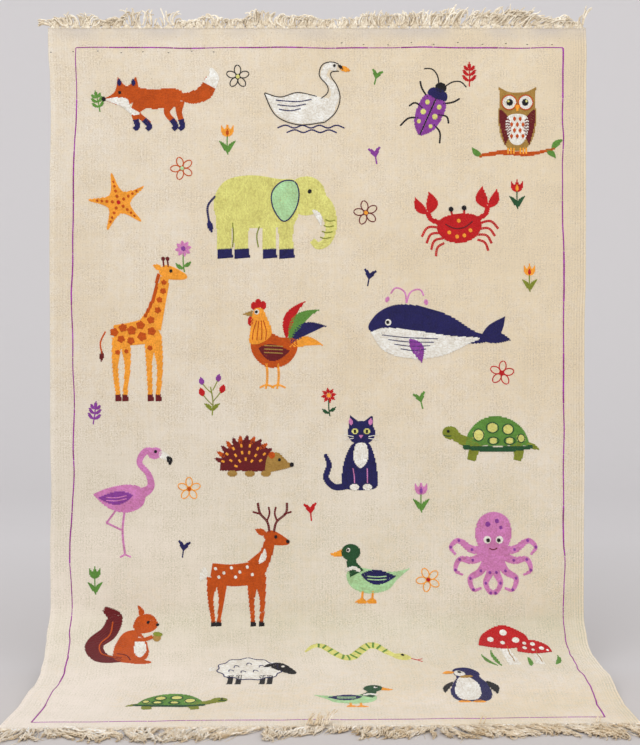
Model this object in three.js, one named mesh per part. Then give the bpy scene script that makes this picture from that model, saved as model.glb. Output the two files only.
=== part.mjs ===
// Embroidered kilim, hung by its upper woven end, with its lower end swept out over the floor.
// Millimetres, +Z up. The origin is the middle of the upper woven end. The face looks along -Y.
// The cloth is described by two numbers: across, from -1 at its left edge to 1 at its right edge,
// and down, the length along the cloth from its upper woven end.

import * as THREE from "three";

// Driving dimensions.
const WIDTH = 1200;
const LENGTH = 1800;
const THICKNESS = 3;
const TOP_HEIGHT = 1436; // the upper woven end above the floor
const GAP = 0.3; // between the cloth and the strips that carry the fringes
const FLOOR = -TOP_HEIGHT;

// The side edges are woven over thick cords, which stand out of the face as ribs.
const RIB_PITCH = 7;
const RIBS_PER_SIDE = 5;
const RIB_HEIGHT = 0.9;

// The field between the ribs is divided into these steps, and so are the three stretches of its length.
const FIELD_STEPS = 12;
const UPRIGHT_STEPS = 12;
const SWEEP_STEPS = 18;
const LYING_STEPS = 4;

// The fringes: the warp ends are gathered into tongues, and each tongue opens into two locks.
const TONGUES = 52;
const STRIP_HEIGHT = 5;
const STRIP_THICKNESS = 2.6;
const ROOT_WIDTH = 9;
const LOCK_WIDTH = 6.4;
const LOCK_DEPTH = 3.6;
const TIP_WIDTH = 3.6;
const GATHERED = 1.6; // how far the two locks of a tongue draw together above their roots
const LOCK_STEPS = 4;
const FRONT_TILT = 0.45; // the front lock of an upper tongue sets out this far forwards, in radians
const BACK_TILT = -0.12;

// The cloth leaves the upright at the height start, meets the floor at the distance reach in front of
// it, and is woven a little longer on its left than on its right.
const SWEEP = [
  { across: -1, start: 134, reach: 338, longer: 20 },
  { across: 0, start: 125, reach: 326, longer: 8 },
  { across: 1, start: 118, reach: 314, longer: -6 },
];

const BEND_DROP = 0.64; // the two inner handles of the sweep's curve, as shares of start and reach
const BEND_OUT = 0.28;
const BEND_LIFT = 0.11;

// How far each side edge wanders to the right as the cloth goes down.
const EDGE_DRIFT = [
  { down: 0, left: -4, right: 1 },
  { down: 110, left: 0, right: 3 },
  { down: 210, left: 2, right: 0 },
  { down: 370, left: -2, right: 0 },
  { down: 560, left: -2, right: -1 },
  { down: 840, left: 0, right: -2 },
  { down: 1040, left: 2, right: -2 },
  { down: 1170, left: 0, right: -4 },
  { down: 1290, left: 0, right: -3 },
  { down: 1400, left: 9, right: 7 },
  { down: 1450, left: 13, right: 10 },
  { down: 1480, left: 8, right: 12 },
  { down: 1520, left: 12, right: 12 },
  { down: 1800, left: 10, right: 10 },
];

// Gentle buckles of the upright cloth: how far they stand out, and their length across and down.
const BUCKLES = [
  { depth: 1.6, acrossLength: 830, downLength: 1250, phase: 0.4 },
  { depth: 1.1, acrossLength: 410, downLength: 760, phase: 2.1 },
  { depth: 0.6, acrossLength: 190, downLength: 1900, phase: 4.0 },
];

// The upper fringe, section by section: how long its locks are, how far their tips lean to the right,
// and how far they turn over forwards between root and tip, in radians (3 bends right down again).
const UPPER_FRINGE = [
  { across: -600, length: 34, lean: -24, curl: 1.6 },
  { across: -565, length: 34, lean: -9, curl: 1.5 },
  { across: -530, length: 41, lean: 3, curl: 0.6 },
  { across: -495, length: 36, lean: 8, curl: 1.9 },
  { across: -440, length: 38, lean: 8, curl: 2.3 },
  { across: -400, length: 44, lean: 3, curl: 0.6 },
  { across: -355, length: 30, lean: -5, curl: 2.4 },
  { across: -300, length: 42, lean: 6, curl: 3.0 },
  { across: -250, length: 40, lean: 7, curl: 1.9 },
  { across: -190, length: 40, lean: 4, curl: 1.5 },
  { across: -130, length: 46, lean: 0, curl: 0.6 },
  { across: -95, length: 38, lean: 4, curl: 1.7 },
  { across: -40, length: 42, lean: 2, curl: 0.8 },
  { across: 20, length: 40, lean: -3, curl: 1.8 },
  { across: 80, length: 40, lean: 3, curl: 1.1 },
  { across: 200, length: 43, lean: 0, curl: 0.8 },
  { across: 320, length: 40, lean: 6, curl: 1.0 },
  { across: 430, length: 42, lean: 13, curl: 1.1 },
  { across: 495, length: 40, lean: 15, curl: 2.4 },
  { across: 545, length: 38, lean: 7, curl: 0.9 },
  { across: 580, length: 34, lean: 4, curl: 1.9 },
  { across: 600, length: 48, lean: 8, curl: 0.4 },
];

// The lower fringe: how far its locks reach out over the floor, lean to the right and rise on the way.
const LOWER_FRINGE = [
  { across: -600, reach: 74, lean: -18, rise: 8 },
  { across: -480, reach: 66, lean: -11, rise: 12 },
  { across: -400, reach: 74, lean: 5, rise: 9 },
  { across: -300, reach: 64, lean: 10, rise: 14 },
  { across: -180, reach: 70, lean: -7, rise: 12 },
  { across: -60, reach: 66, lean: 11, rise: 15 },
  { across: 40, reach: 58, lean: -6, rise: 11 },
  { across: 140, reach: 64, lean: 11, rise: 14 },
  { across: 260, reach: 56, lean: 9, rise: 12 },
  { across: 380, reach: 60, lean: -5, rise: 15 },
  { across: 480, reach: 52, lean: 11, rise: 12 },
  { across: 600, reach: 56, lean: 16, rise: 9 },
];
const UNDER_LOCK_SHARE = 0.5; // the locks that lie under the others reach this much of the way
const RISE_BY_STEP = [0.8, 1, 0, 0]; // the last stretch rests on the floor

// Returns the value of one column of a table at a place between its rows, eased from row to row.
function fromTable(table, key, place, column) {
  const first = table[0];
  const last = table[table.length - 1];
  if (place <= first[key]) return first[column];
  if (place >= last[key]) return last[column];
  const next = table.findIndex((row) => row[key] > place);
  const before = table[next - 1];
  const after = table[next];
  const share = (place - before[key]) / (after[key] - before[key]);
  return THREE.MathUtils.lerp(before[column], after[column], share * share * (3 - 2 * share));
}

// Returns a number from 0 to 1 that depends only on its two whole numbers.
function scatter(index, kind) {
  const value = Math.sin(index * 12.9898 + kind * 78.233) * 43758.5453;
  return value - Math.floor(value);
}

// Returns the side view of the cloth at one place across: its upright, its sweep and where it lies.
function sideView(across) {
  const start = fromTable(SWEEP, "across", across, "start");
  const reach = fromTable(SWEEP, "across", across, "reach");
  const length = LENGTH + fromTable(SWEEP, "across", across, "longer");
  const bend = new THREE.CubicBezierCurve(
    new THREE.Vector2(0, start),
    new THREE.Vector2(0, start * BEND_DROP),
    new THREE.Vector2(reach * BEND_OUT, start * BEND_LIFT),
    new THREE.Vector2(reach, 0),
  );
  const upright = TOP_HEIGHT - THICKNESS / 2 - start;
  return { bend, reach, upright, sweep: bend.getLength(), length };
}

// Returns the middle of the cloth and its outward normal. down runs from 0 to the view's length.
function clothAt(view, across, down) {
  const left = fromTable(EDGE_DRIFT, "down", down, "left");
  const right = fromTable(EDGE_DRIFT, "down", down, "right");
  const x = (across * WIDTH) / 2 + THREE.MathUtils.lerp(left, right, (across + 1) / 2);
  const lying = FLOOR + THICKNESS / 2;
  if (down <= view.upright) {
    const eased = Math.sin((Math.PI * down) / view.upright);
    const out = eased * buckle(across, down);
    return { point: new THREE.Vector3(x, -out, -down), normal: new THREE.Vector3(0, -1, 0) };
  }
  const along = (down - view.upright) / view.sweep;
  if (along < 1) {
    const spot = view.bend.getPointAt(along);
    const tangent = view.bend.getTangentAt(along);
    return {
      point: new THREE.Vector3(x, -spot.x, lying + spot.y),
      normal: new THREE.Vector3(0, tangent.y, tangent.x),
    };
  }
  const forward = view.reach + down - view.upright - view.sweep;
  return { point: new THREE.Vector3(x, -forward, lying), normal: new THREE.Vector3(0, 0, 1) };
}

// Returns how far the upright cloth stands out of its plane.
function buckle(across, down) {
  return BUCKLES.reduce((sum, wave) => {
    const turns = (across * WIDTH) / 2 / wave.acrossLength + down / wave.downLength;
    return sum + wave.depth * Math.sin(2 * Math.PI * turns + wave.phase);
  }, 0);
}

// Returns the places across at which the cloth has a column of points, each with its rib's height.
function clothColumns() {
  const columns = [];
  const halfPitch = RIB_PITCH / 2;
  const bandWidth = RIBS_PER_SIDE * RIB_PITCH;
  for (let step = 0; step <= 2 * RIBS_PER_SIDE; step += 1) {
    columns.push({ from: step * halfPitch, raised: (step % 2) * RIB_HEIGHT });
  }
  const fieldStep = (WIDTH - 2 * bandWidth) / FIELD_STEPS;
  for (let step = 1; step < FIELD_STEPS; step += 1) {
    columns.push({ from: bandWidth + step * fieldStep, raised: 0 });
  }
  for (let step = 2 * RIBS_PER_SIDE; step >= 0; step -= 1) {
    columns.push({ from: WIDTH - step * halfPitch, raised: (step % 2) * RIB_HEIGHT });
  }
  return columns.map(({ from, raised }) => ({ across: (2 * from) / WIDTH - 1, raised }));
}

// Returns the lengths down the cloth at which one column has its points.
function clothRows(view) {
  const rows = [];
  for (let step = 0; step < UPRIGHT_STEPS; step += 1) {
    rows.push((view.upright * step) / UPRIGHT_STEPS);
  }
  for (let step = 0; step < SWEEP_STEPS; step += 1) {
    rows.push(view.upright + (view.sweep * step) / SWEEP_STEPS);
  }
  const lyingFrom = view.upright + view.sweep;
  for (let step = 0; step <= LYING_STEPS; step += 1) {
    rows.push(lyingFrom + ((view.length - lyingFrom) * step) / LYING_STEPS);
  }
  return rows;
}

// Collects points and the flat polygons between them, and turns them into a mesh.
class Solid {
  constructor() {
    this.points = [];
    this.faces = [];
  }

  add(point) {
    this.points.push(point.x, point.y, point.z);
    return this.points.length / 3 - 1;
  }

  // Adds a convex polygon, its corners in anticlockwise order as seen from outside.
  face(...corners) {
    for (let step = 1; step + 1 < corners.length; step += 1) {
      this.faces.push(corners[0], corners[step], corners[step + 1]);
    }
  }

  mesh(name, material) {
    const geometry = new THREE.BufferGeometry();
    geometry.setAttribute("position", new THREE.Float32BufferAttribute(this.points, 3));
    geometry.setIndex(this.faces);
    geometry.computeVertexNormals();
    const mesh = new THREE.Mesh(geometry, material);
    mesh.name = name;
    return mesh;
  }
}

// Returns the whole cloth as one solid sheet, with the ribs of its side edges raised on its face.
function makeGround(material) {
  const solid = new Solid();
  const columns = clothColumns().map(({ across, raised }) => {
    const view = sideView(across);
    return clothRows(view).map((down) => {
      const { point, normal } = clothAt(view, across, down);
      const faceAt = point.clone().addScaledVector(normal, THICKNESS / 2 + raised);
      const backAt = point.clone().addScaledVector(normal, -THICKNESS / 2);
      return { face: solid.add(faceAt), back: solid.add(backAt) };
    });
  });
  const lastRow = columns[0].length - 1;
  for (let column = 0; column + 1 < columns.length; column += 1) {
    const left = columns[column];
    const right = columns[column + 1];
    for (let row = 0; row < lastRow; row += 1) {
      solid.face(left[row].face, left[row + 1].face, right[row + 1].face, right[row].face);
      solid.face(left[row].back, right[row].back, right[row + 1].back, left[row + 1].back);
    }
    solid.face(left[0].face, right[0].face, right[0].back, left[0].back);
    solid.face(left[lastRow].back, right[lastRow].back, right[lastRow].face, left[lastRow].face);
  }
  const leftEdge = columns[0];
  const rightEdge = columns[columns.length - 1];
  for (let row = 0; row < lastRow; row += 1) {
    solid.face(leftEdge[row].face, leftEdge[row].back, leftEdge[row + 1].back, leftEdge[row + 1].face);
    solid.face(rightEdge[row].back, rightEdge[row].face, rightEdge[row + 1].face, rightEdge[row + 1].back);
  }
  return solid.mesh("kilim_ground", material);
}

// Describes the woven end at which a fringe grows. out points away from the cloth and face out of its
// face, and edgeAt gives the middle of the strip's near side at a distance in mm right of the centre.
const UPPER_END = {
  out: new THREE.Vector3(0, 0, 1),
  face: new THREE.Vector3(0, -1, 0),
  turn: -1,
  edgeAt(distance) {
    const across = (2 * distance) / WIDTH;
    const { point } = clothAt(sideView(across), across, 0);
    return point.add(new THREE.Vector3(0, 0, GAP));
  },
};
const LOWER_END = {
  out: new THREE.Vector3(0, -1, 0),
  face: new THREE.Vector3(0, 0, 1),
  turn: 1,
  edgeAt(distance) {
    const across = (2 * distance) / WIDTH;
    const view = sideView(across);
    const { point } = clothAt(view, across, view.length);
    return new THREE.Vector3(point.x, point.y - GAP, FLOOR + STRIP_THICKNESS / 2);
  },
};

// Returns an upper lock's rings, from above its root to its tip: each one's place as an offset from
// the root, and its tilt forwards. The front lock of a tongue sets out forwards and the other upright.
function upperLock(number, distance, inFront) {
  const towardsMate = inFront ? GATHERED : -GATHERED;
  const reading = (column) => fromTable(UPPER_FRINGE, "across", distance, column);
  const length = reading("length") * (0.85 + 0.3 * scatter(number, 1));
  const lean = reading("lean") + 7 * (scatter(number, 2) - 0.5) - towardsMate * 1.6;
  const firstTilt = inFront ? FRONT_TILT : BACK_TILT;
  const turning = reading("curl") * (inFront ? 1 : 0.45);
  const rings = [];
  let out = 0;
  let face = 0;
  for (let step = 1; step <= LOCK_STEPS; step += 1) {
    const share = step / LOCK_STEPS;
    const heading = firstTilt + turning * (share - 0.5 / LOCK_STEPS);
    out += (length / LOCK_STEPS) * Math.cos(heading);
    face += (length / LOCK_STEPS) * Math.sin(heading);
    rings.push({ side: towardsMate + lean * share, out, face, tilt: firstTilt + turning * share });
  }
  return rings;
}

// Returns a lower lock's rings. The locks under the others stay low and short, and the others rise
// over them, and both end level on the floor.
function lowerLock(number, distance, inFront) {
  const towardsMate = inFront ? GATHERED : -GATHERED;
  const reading = (column) => fromTable(LOWER_FRINGE, "across", distance, column);
  const reach = reading("reach") * (0.86 + 0.14 * scatter(number, 3));
  const lean = reading("lean") + 6 * (scatter(number, 4) - 0.5) - towardsMate * 1.6;
  const size = inFront ? 1 : UNDER_LOCK_SHARE;
  const onFloor = (LOCK_DEPTH - STRIP_THICKNESS) / 2;
  return RISE_BY_STEP.map((rise, index) => {
    const share = (index + 1) / LOCK_STEPS;
    const raised = inFront ? rise * (reading("rise") + LOCK_DEPTH) : 0;
    return {
      side: towardsMate + lean * share * size,
      out: reach * size * share,
      face: onFloor + raised,
      tilt: 0,
    };
  });
}

// Adds one lock that grows out of the four points of its root, and closes it with a flat tip.
function growLock(solid, end, root, foot, rings) {
  let before = root;
  rings.forEach((ring, index) => {
    const share = (index + 1) / rings.length;
    const halfWidth = THREE.MathUtils.lerp(LOCK_WIDTH, TIP_WIDTH, share) / 2;
    const middle = foot.clone().addScaledVector(end.out, ring.out).addScaledVector(end.face, ring.face);
    middle.x += ring.side;
    const thickWay = end.face.clone().multiplyScalar(Math.cos(ring.tilt));
    thickWay.addScaledVector(end.out, -Math.sin(ring.tilt));
    const corners = [[-1, 1], [1, 1], [1, -1], [-1, -1]].map(([side, face]) => {
      const corner = middle.clone().addScaledVector(thickWay, (face * LOCK_DEPTH) / 2);
      corner.x += side * halfWidth;
      return solid.add(corner);
    });
    for (let side = 0; side < 4; side += 1) {
      const next = (side + 1) % 4;
      addTurned(solid, end, [before[side], before[next], corners[next], corners[side]]);
    }
    before = corners;
  });
  addTurned(solid, end, before);
}

// Adds a polygon whose corners are listed for the upper end, and turned round for the lower one.
function addTurned(solid, end, corners) {
  solid.face(...(end.turn < 0 ? corners : corners.slice().reverse()));
}

// Returns a strip along a woven end with the locks of its tongues growing out of it, as one solid.
function makeFringe(name, end, lockRings, material) {
  const solid = new Solid();
  const pitch = WIDTH / TONGUES;
  const pointAt = (distance, out, face) => {
    const point = end.edgeAt(distance);
    point.addScaledVector(end.out, out).addScaledVector(end.face, (face * STRIP_THICKNESS) / 2);
    return solid.add(point);
  };
  const rank = (distance) => ({
    nearFace: pointAt(distance, 0, 1),
    nearBack: pointAt(distance, 0, -1),
    farFace: pointAt(distance, STRIP_HEIGHT, 1),
    farBack: pointAt(distance, STRIP_HEIGHT, -1),
  });
  const rims = (distance) => ({
    farFace: pointAt(distance, STRIP_HEIGHT, 1),
    farBack: pointAt(distance, STRIP_HEIGHT, -1),
  });
  let left = rank(-WIDTH / 2);
  addTurned(solid, end, [left.nearBack, left.nearFace, left.farFace, left.farBack]);
  for (let tongue = 0; tongue < TONGUES; tongue += 1) {
    const from = -WIDTH / 2 + tongue * pitch;
    const spare = (pitch - 2 * ROOT_WIDTH) / 3;
    const roots = [0, 1].map((place) => {
      const start = from + spare + place * (ROOT_WIDTH + spare);
      return { start: rims(start), finish: rims(start + ROOT_WIDTH), middle: start + ROOT_WIDTH / 2 };
    });
    const right = rank(from + pitch);
    const rimPoints = [left, roots[0].start, roots[0].finish, roots[1].start, roots[1].finish, right];
    const across = rimPoints.slice().reverse();
    addTurned(solid, end, [left.nearFace, right.nearFace, ...across.map((rim) => rim.farFace)]);
    addTurned(solid, end, [right.nearBack, left.nearBack, ...rimPoints.map((rim) => rim.farBack)]);
    addTurned(solid, end, [left.nearBack, right.nearBack, right.nearFace, left.nearFace]);
    for (const gap of [0, 2, 4]) {
      const start = rimPoints[gap];
      const finish = rimPoints[gap + 1];
      addTurned(solid, end, [start.farFace, finish.farFace, finish.farBack, start.farBack]);
    }
    roots.forEach(({ start, finish, middle }, place) => {
      const foot = end.edgeAt(middle).addScaledVector(end.out, STRIP_HEIGHT);
      const rings = lockRings(2 * tongue + place, middle, place === 0);
      const root = [start.farFace, finish.farFace, finish.farBack, start.farBack];
      growLock(solid, end, root, foot, rings);
    });
    left = right;
  }
  addTurned(solid, end, [left.nearFace, left.nearBack, left.farBack, left.farFace]);
  return solid.mesh(name, material);
}

const groundMaterial = new THREE.MeshStandardMaterial({ color: 0xe5d8c4, roughness: 0.95, metalness: 0 });
const fringeMaterial = new THREE.MeshStandardMaterial({ color: 0xcdc0a5, roughness: 0.95, metalness: 0 });

const kilim = new THREE.Group();
kilim.add(makeGround(groundMaterial));
kilim.add(makeFringe("fringe_top", UPPER_END, upperLock, fringeMaterial));
kilim.add(makeFringe("fringe_bottom", LOWER_END, lowerLock, fringeMaterial));

export default kilim;
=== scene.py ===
"""An embroidered kilim, hung by its upper end, with its lower end swept out over the floor.

Metres and +Z up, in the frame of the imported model: the origin is the middle of the upper woven end, and
the embroidered face looks along -Y. A place on the cloth is given flat, as it lay before it was hung:
side is the distance to the right of its middle line, and down the distance from its upper woven end.
"""

from __future__ import annotations

import logging
import math
import sys
from collections.abc import Callable, Iterator, Sequence
from dataclasses import dataclass, field, replace
from enum import Enum
from functools import cache, partialmethod

import bpy
import numpy as np
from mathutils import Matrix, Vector

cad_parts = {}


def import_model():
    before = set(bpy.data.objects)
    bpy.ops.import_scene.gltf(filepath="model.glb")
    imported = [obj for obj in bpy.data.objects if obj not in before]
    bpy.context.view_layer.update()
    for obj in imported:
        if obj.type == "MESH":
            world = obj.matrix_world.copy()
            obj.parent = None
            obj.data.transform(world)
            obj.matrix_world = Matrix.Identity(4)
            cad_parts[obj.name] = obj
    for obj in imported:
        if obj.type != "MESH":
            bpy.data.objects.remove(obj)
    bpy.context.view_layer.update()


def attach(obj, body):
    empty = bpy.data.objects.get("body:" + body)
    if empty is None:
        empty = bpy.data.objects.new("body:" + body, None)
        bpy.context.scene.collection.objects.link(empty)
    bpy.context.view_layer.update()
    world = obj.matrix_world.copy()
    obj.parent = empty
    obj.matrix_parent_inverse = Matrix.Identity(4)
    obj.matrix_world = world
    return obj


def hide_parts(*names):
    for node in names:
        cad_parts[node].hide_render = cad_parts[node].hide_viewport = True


LOG = logging.getLogger("kilim")
MM = 0.001

Point = tuple[float, float]
Colour = tuple[int, int, int]
Rows = tuple[tuple[float, ...], ...]
Path = Sequence[Point] | np.ndarray
Feeds = dict[str | int, object]


class Yarn(Enum):
    """The embroidery yarns, each with its colour as red, green and blue out of 255."""

    RED = (196, 26, 30)
    MAROON = (108, 28, 32)
    RUST = (196, 82, 16)
    ORANGE = (246, 164, 54)
    OCHRE = (172, 134, 66)
    LIME = (222, 217, 128)
    OLIVE = (134, 142, 48)
    GREEN = (98, 146, 62)
    PINE = (40, 84, 50)
    MINT = (178, 216, 162)
    NAVY = (36, 33, 88)
    PURPLE = (142, 66, 156)
    PLUM = (158, 46, 154)
    MAUVE = (212, 132, 186)
    CREAM = (238, 234, 224)
    BLACK = (30, 27, 30)


(
    RED, MAROON, RUST, ORANGE, OCHRE, LIME, OLIVE, GREEN, PINE, MINT, NAVY, PURPLE, PLUM, MAUVE, CREAM,
    BLACK,
) = Yarn


def linear(colour: Sequence[float]) -> tuple[float, float, float, float]:
    """Turns a screen colour into the linear one that a shader takes.

    Args:
        colour: Red, green and blue out of 255.

    Returns:
        The linear red, green and blue, and an alpha of 1.
    """
    shares = [value / 255 for value in colour]
    red, green, blue = (s / 12.92 if s <= 0.04045 else ((s + 0.055) / 1.055) ** 2.4 for s in shares)
    return (red, green, blue, 1.0)


def eased(rows: Rows, place: np.ndarray, column: int) -> np.ndarray:
    """Reads one column of a table at places between its rows, eased from row to row.

    Args:
        rows: The table, whose first column holds the places of its rows.
        place: The places to read it at.
        column: The column to read.

    Returns:
        The column's value at each place.
    """
    table = np.asarray(rows, float)
    place = np.asarray(place, float)
    found = np.clip(np.searchsorted(table[:, 0], place, side="right") - 1, 0, len(table) - 2)
    before, after = table[found], table[found + 1]
    share = np.clip((place - before[..., 0]) / (after[..., 0] - before[..., 0]), 0, 1)
    share = share * share * (3 - 2 * share)
    return before[..., column] + (after[..., column] - before[..., column]) * share


def unit(vectors: np.ndarray) -> np.ndarray:
    """Returns vectors scaled to a length of 1, along the last axis."""
    return vectors / np.maximum(np.linalg.norm(vectors, axis=-1, keepdims=True), 1e-12)


def distances(paths: np.ndarray) -> np.ndarray:
    """Returns how far along its path each point is, for one path or for many."""
    legs = np.linalg.norm(np.diff(paths, axis=-2), axis=-1)
    return np.concatenate([np.zeros((*legs.shape[:-1], 1)), np.cumsum(legs, -1)], -1)


def new_mesh_object(name: str, points: np.ndarray, faces: np.ndarray) -> bpy.types.Object:
    """Makes a smooth mesh object at the origin.

    Args:
        name: Its name.
        points: The places of its vertices.
        faces: Its faces, all with the same number of corners, as rows of vertex numbers.

    Returns:
        The object.
    """
    mesh = bpy.data.meshes.new(name)
    corners = faces.shape[1]
    mesh.vertices.add(len(points))
    mesh.vertices.foreach_set("co", points.astype(np.float32).ravel())
    mesh.loops.add(faces.size)
    mesh.loops.foreach_set("vertex_index", faces.astype(np.int32).ravel())
    mesh.polygons.add(len(faces))
    mesh.polygons.foreach_set("loop_start", np.arange(0, faces.size, corners, dtype=np.int32))
    mesh.polygons.foreach_set("use_smooth", np.ones(len(faces), bool))
    mesh.update(calc_edges=True)
    mesh.validate()
    made = bpy.data.objects.new(name, mesh)
    bpy.context.scene.collection.objects.link(made)
    return made


def write_uv(made: bpy.types.Object, name: str, places: np.ndarray) -> None:
    """Gives a mesh a UV map from one pair of numbers for each vertex.

    Args:
        made: The object whose mesh gets the map.
        name: The map's name.
        places: The two numbers of each vertex.
    """
    mesh = made.data
    loops = np.empty(len(mesh.loops), np.int32)
    mesh.loops.foreach_get("vertex_index", loops)
    layer = mesh.uv_layers.new(name=name)
    layer.data.foreach_set("uv", places[loops].astype(np.float32).ravel())


def write_values(made: bpy.types.Object, name: str, values: np.ndarray) -> None:
    """Gives the mesh of an object a named attribute, from one number for each vertex."""
    layer = made.data.attributes.new(name, "FLOAT", "POINT")
    layer.data.foreach_set("value", values.astype(np.float32))


@dataclass(frozen=True)
class ClothForm:
    """The form in which the cloth hangs, sweeps forwards and lies.

    The tables give each place across the cloth as a share, from -1 at its left edge to 1 at its right.
    """

    width: float = 1.2
    length: float = 1.8
    thickness: float = 3 * MM
    top_height: float = 1.436
    sweep_rows: Rows = (  # across, height at which it leaves the upright, forward reach, extra length
        (-1, 0.134, 0.338, 0.020),
        (0, 0.125, 0.326, 0.008),
        (1, 0.118, 0.314, -0.006),
    )
    bend_drop: float = 0.64
    bend_out: float = 0.28
    bend_lift: float = 0.11
    drift_rows: Rows = (  # down, how far the left and the right edge wander to the right
        (0, -0.0045, 0.004), (0.06, -0.0035, 0.006), (0.11, 0.0004, 0.005), (0.21, 0.002, 0.0042),
        (0.37, -0.0009, 0.0039), (0.56, -0.0015, 0.0034), (0.66, -0.0006, 0.0008), (0.84, 0.0003, 0.0005),
        (0.94, 0.001, 0.0014), (1.04, 0.0035, 0.0006), (1.17, 0.0006, -0.0003), (1.29, 0.0015, -0.0009),
        (1.33, 0.0012, -0.0005), (1.36, 0.0006, 0), (1.4, 0.0058, -0.0022), (1.43, 0.0092, -0.001),
        (1.45, 0.013, 0.004), (1.48, 0.0145, 0.0092), (1.52, 0.0195, 0.0185), (1.56, 0.0196, 0.0166),
        (1.6, 0.0145, 0.0131), (1.64, 0.0145, 0.0111), (1.68, 0.016, 0.0075), (1.8, 0.014, 0.006),
    )
    buckle_rows: Rows = (  # depth, length across, length down, phase
        (0.0016, 0.830, 1.250, 0.4),
        (0.0011, 0.410, 0.760, 2.1),
        (0.0006, 0.190, 1.900, 4.0),
    )
    ripple_rows: Rows = (  # finer unevenness all over, in the same columns
        (0.00035, 0.083, 0.210, 1.2),
        (0.00030, 0.140, 0.061, 3.3),
        (0.00022, 0.047, 0.094, 5.1),
    )
    lift_rows: Rows = (  # humps of the lying end, in the same columns
        (0.0007, 0.420, 1.100, 0.9),
        (0.0004, 0.173, 0.400, 2.4),
    )
    top_ease: float = 0.06  # the finer unevenness starts over this distance from the upper woven end
    least_lift: float = 0.2 * MM
    steps: int = 200
    columns: int = 41

    @property
    def floor(self) -> float:
        """Returns the height of the floor."""
        return -self.top_height

    def end_at(self, side: np.ndarray) -> np.ndarray:
        """Returns the woven length of the cloth at places to the side of its middle line."""
        return self.length + eased(self.sweep_rows, 2 * np.asarray(side) / self.width, 3)

    def _handles(self, across: np.ndarray) -> np.ndarray:
        """Returns the four handles of the sweep, as forward distance and height, for each place across."""
        start = eased(self.sweep_rows, across, 1)
        reach = eased(self.sweep_rows, across, 2)
        none = np.zeros_like(start)
        forward = np.stack([none, none, reach * self.bend_out, reach], -1)
        height = np.stack([start, start * self.bend_drop, start * self.bend_lift, none], -1)
        return np.stack([forward, height], -1)

    @staticmethod
    def _bezier(handles: np.ndarray, share: np.ndarray) -> tuple[np.ndarray, np.ndarray]:
        """Returns the places on cubic curves and their directions.

        Args:
            handles: The four handles of each curve.
            share: The curve's own parameter, from 0 to 1, one for each curve.

        Returns:
            The places and the directions.
        """
        s = share[..., None]
        back = 1 - s
        a, b, c, d = (handles[..., n, :] for n in range(4))
        place = back**3 * a + 3 * back**2 * s * b + 3 * back * s**2 * c + s**3 * d
        way = 3 * back**2 * (b - a) + 6 * back * s * (c - b) + 3 * s**2 * (d - c)
        return place, way

    def _sweep_lengths(self, across: np.ndarray) -> np.ndarray:
        """Measures the sweep along the cloth.

        Args:
            across: The places across.

        Returns:
            The length so far at each step of the sweep, for each place across.
        """
        count = self.steps + 1
        handles = np.repeat(self._handles(across)[..., None, :, :], count, -3)
        shares = np.broadcast_to(np.linspace(0, 1, count), (*across.shape, count))
        return distances(self._bezier(handles, shares)[0])

    def _waves(self, rows: Rows, side: np.ndarray, down: np.ndarray) -> np.ndarray:
        """Adds up the waves of a table at flat places."""
        total = np.zeros_like(side)
        for depth, across_length, down_length, phase in rows:
            total += depth * np.sin(2 * np.pi * (side / across_length + down / down_length) + phase)
        return total

    def lay(self, side: np.ndarray, down: np.ndarray) -> tuple[np.ndarray, np.ndarray]:
        """Takes flat places of the cloth to where they hang or lie.

        Args:
            side: Distances to the right of the middle line.
            down: Distances from the upper woven end.

        Returns:
            The places in the middle of the cloth's thickness, and its outward directions there.
        """
        side, down = np.broadcast_arrays(np.asarray(side, float), np.asarray(down, float))
        across = np.clip(2 * side / self.width, -1, 1)
        handles = self._handles(across)
        upright = self.top_height - self.thickness / 2 - handles[..., 0, 1]
        grid = np.linspace(-1, 1, self.columns)
        so_far = self._sweep_lengths(grid)
        sweep = np.interp(across, grid, so_far[:, -1])
        along = np.clip((down - upright) / sweep, 0, 1)
        middle = so_far[len(grid) // 2] / so_far[len(grid) // 2, -1]
        share = np.interp(along, middle, np.linspace(0, 1, self.steps + 1))
        bend, way = self._bezier(handles, share)
        way = unit(way)
        lying = np.maximum(down - upright - sweep, 0)
        hanging = np.maximum(upright - down, 0)

        left = eased(self.drift_rows, down, 1)
        right = eased(self.drift_rows, down, 2)
        x = side + left + (right - left) * (across + 1) / 2
        forward = bend[..., 0] + lying
        z = self.floor + self.thickness / 2 + bend[..., 1] + hanging
        points = np.stack([x, -forward, z], -1)
        normals = np.stack([np.zeros_like(x), way[..., 1], way[..., 0]], -1)

        swell = np.sin(np.pi * np.clip(down / upright, 0, 1)) * self._waves(self.buckle_rows, side, down)
        swell += np.clip(down / self.top_ease, 0, 1) * self._waves(self.ripple_rows, side, down)
        on_floor = along**2
        raised = np.abs(self._waves(self.lift_rows, side, down)) + self.least_lift
        swell = swell * (1 - on_floor) + raised * on_floor
        return points + normals * swell[..., None], normals


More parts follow.
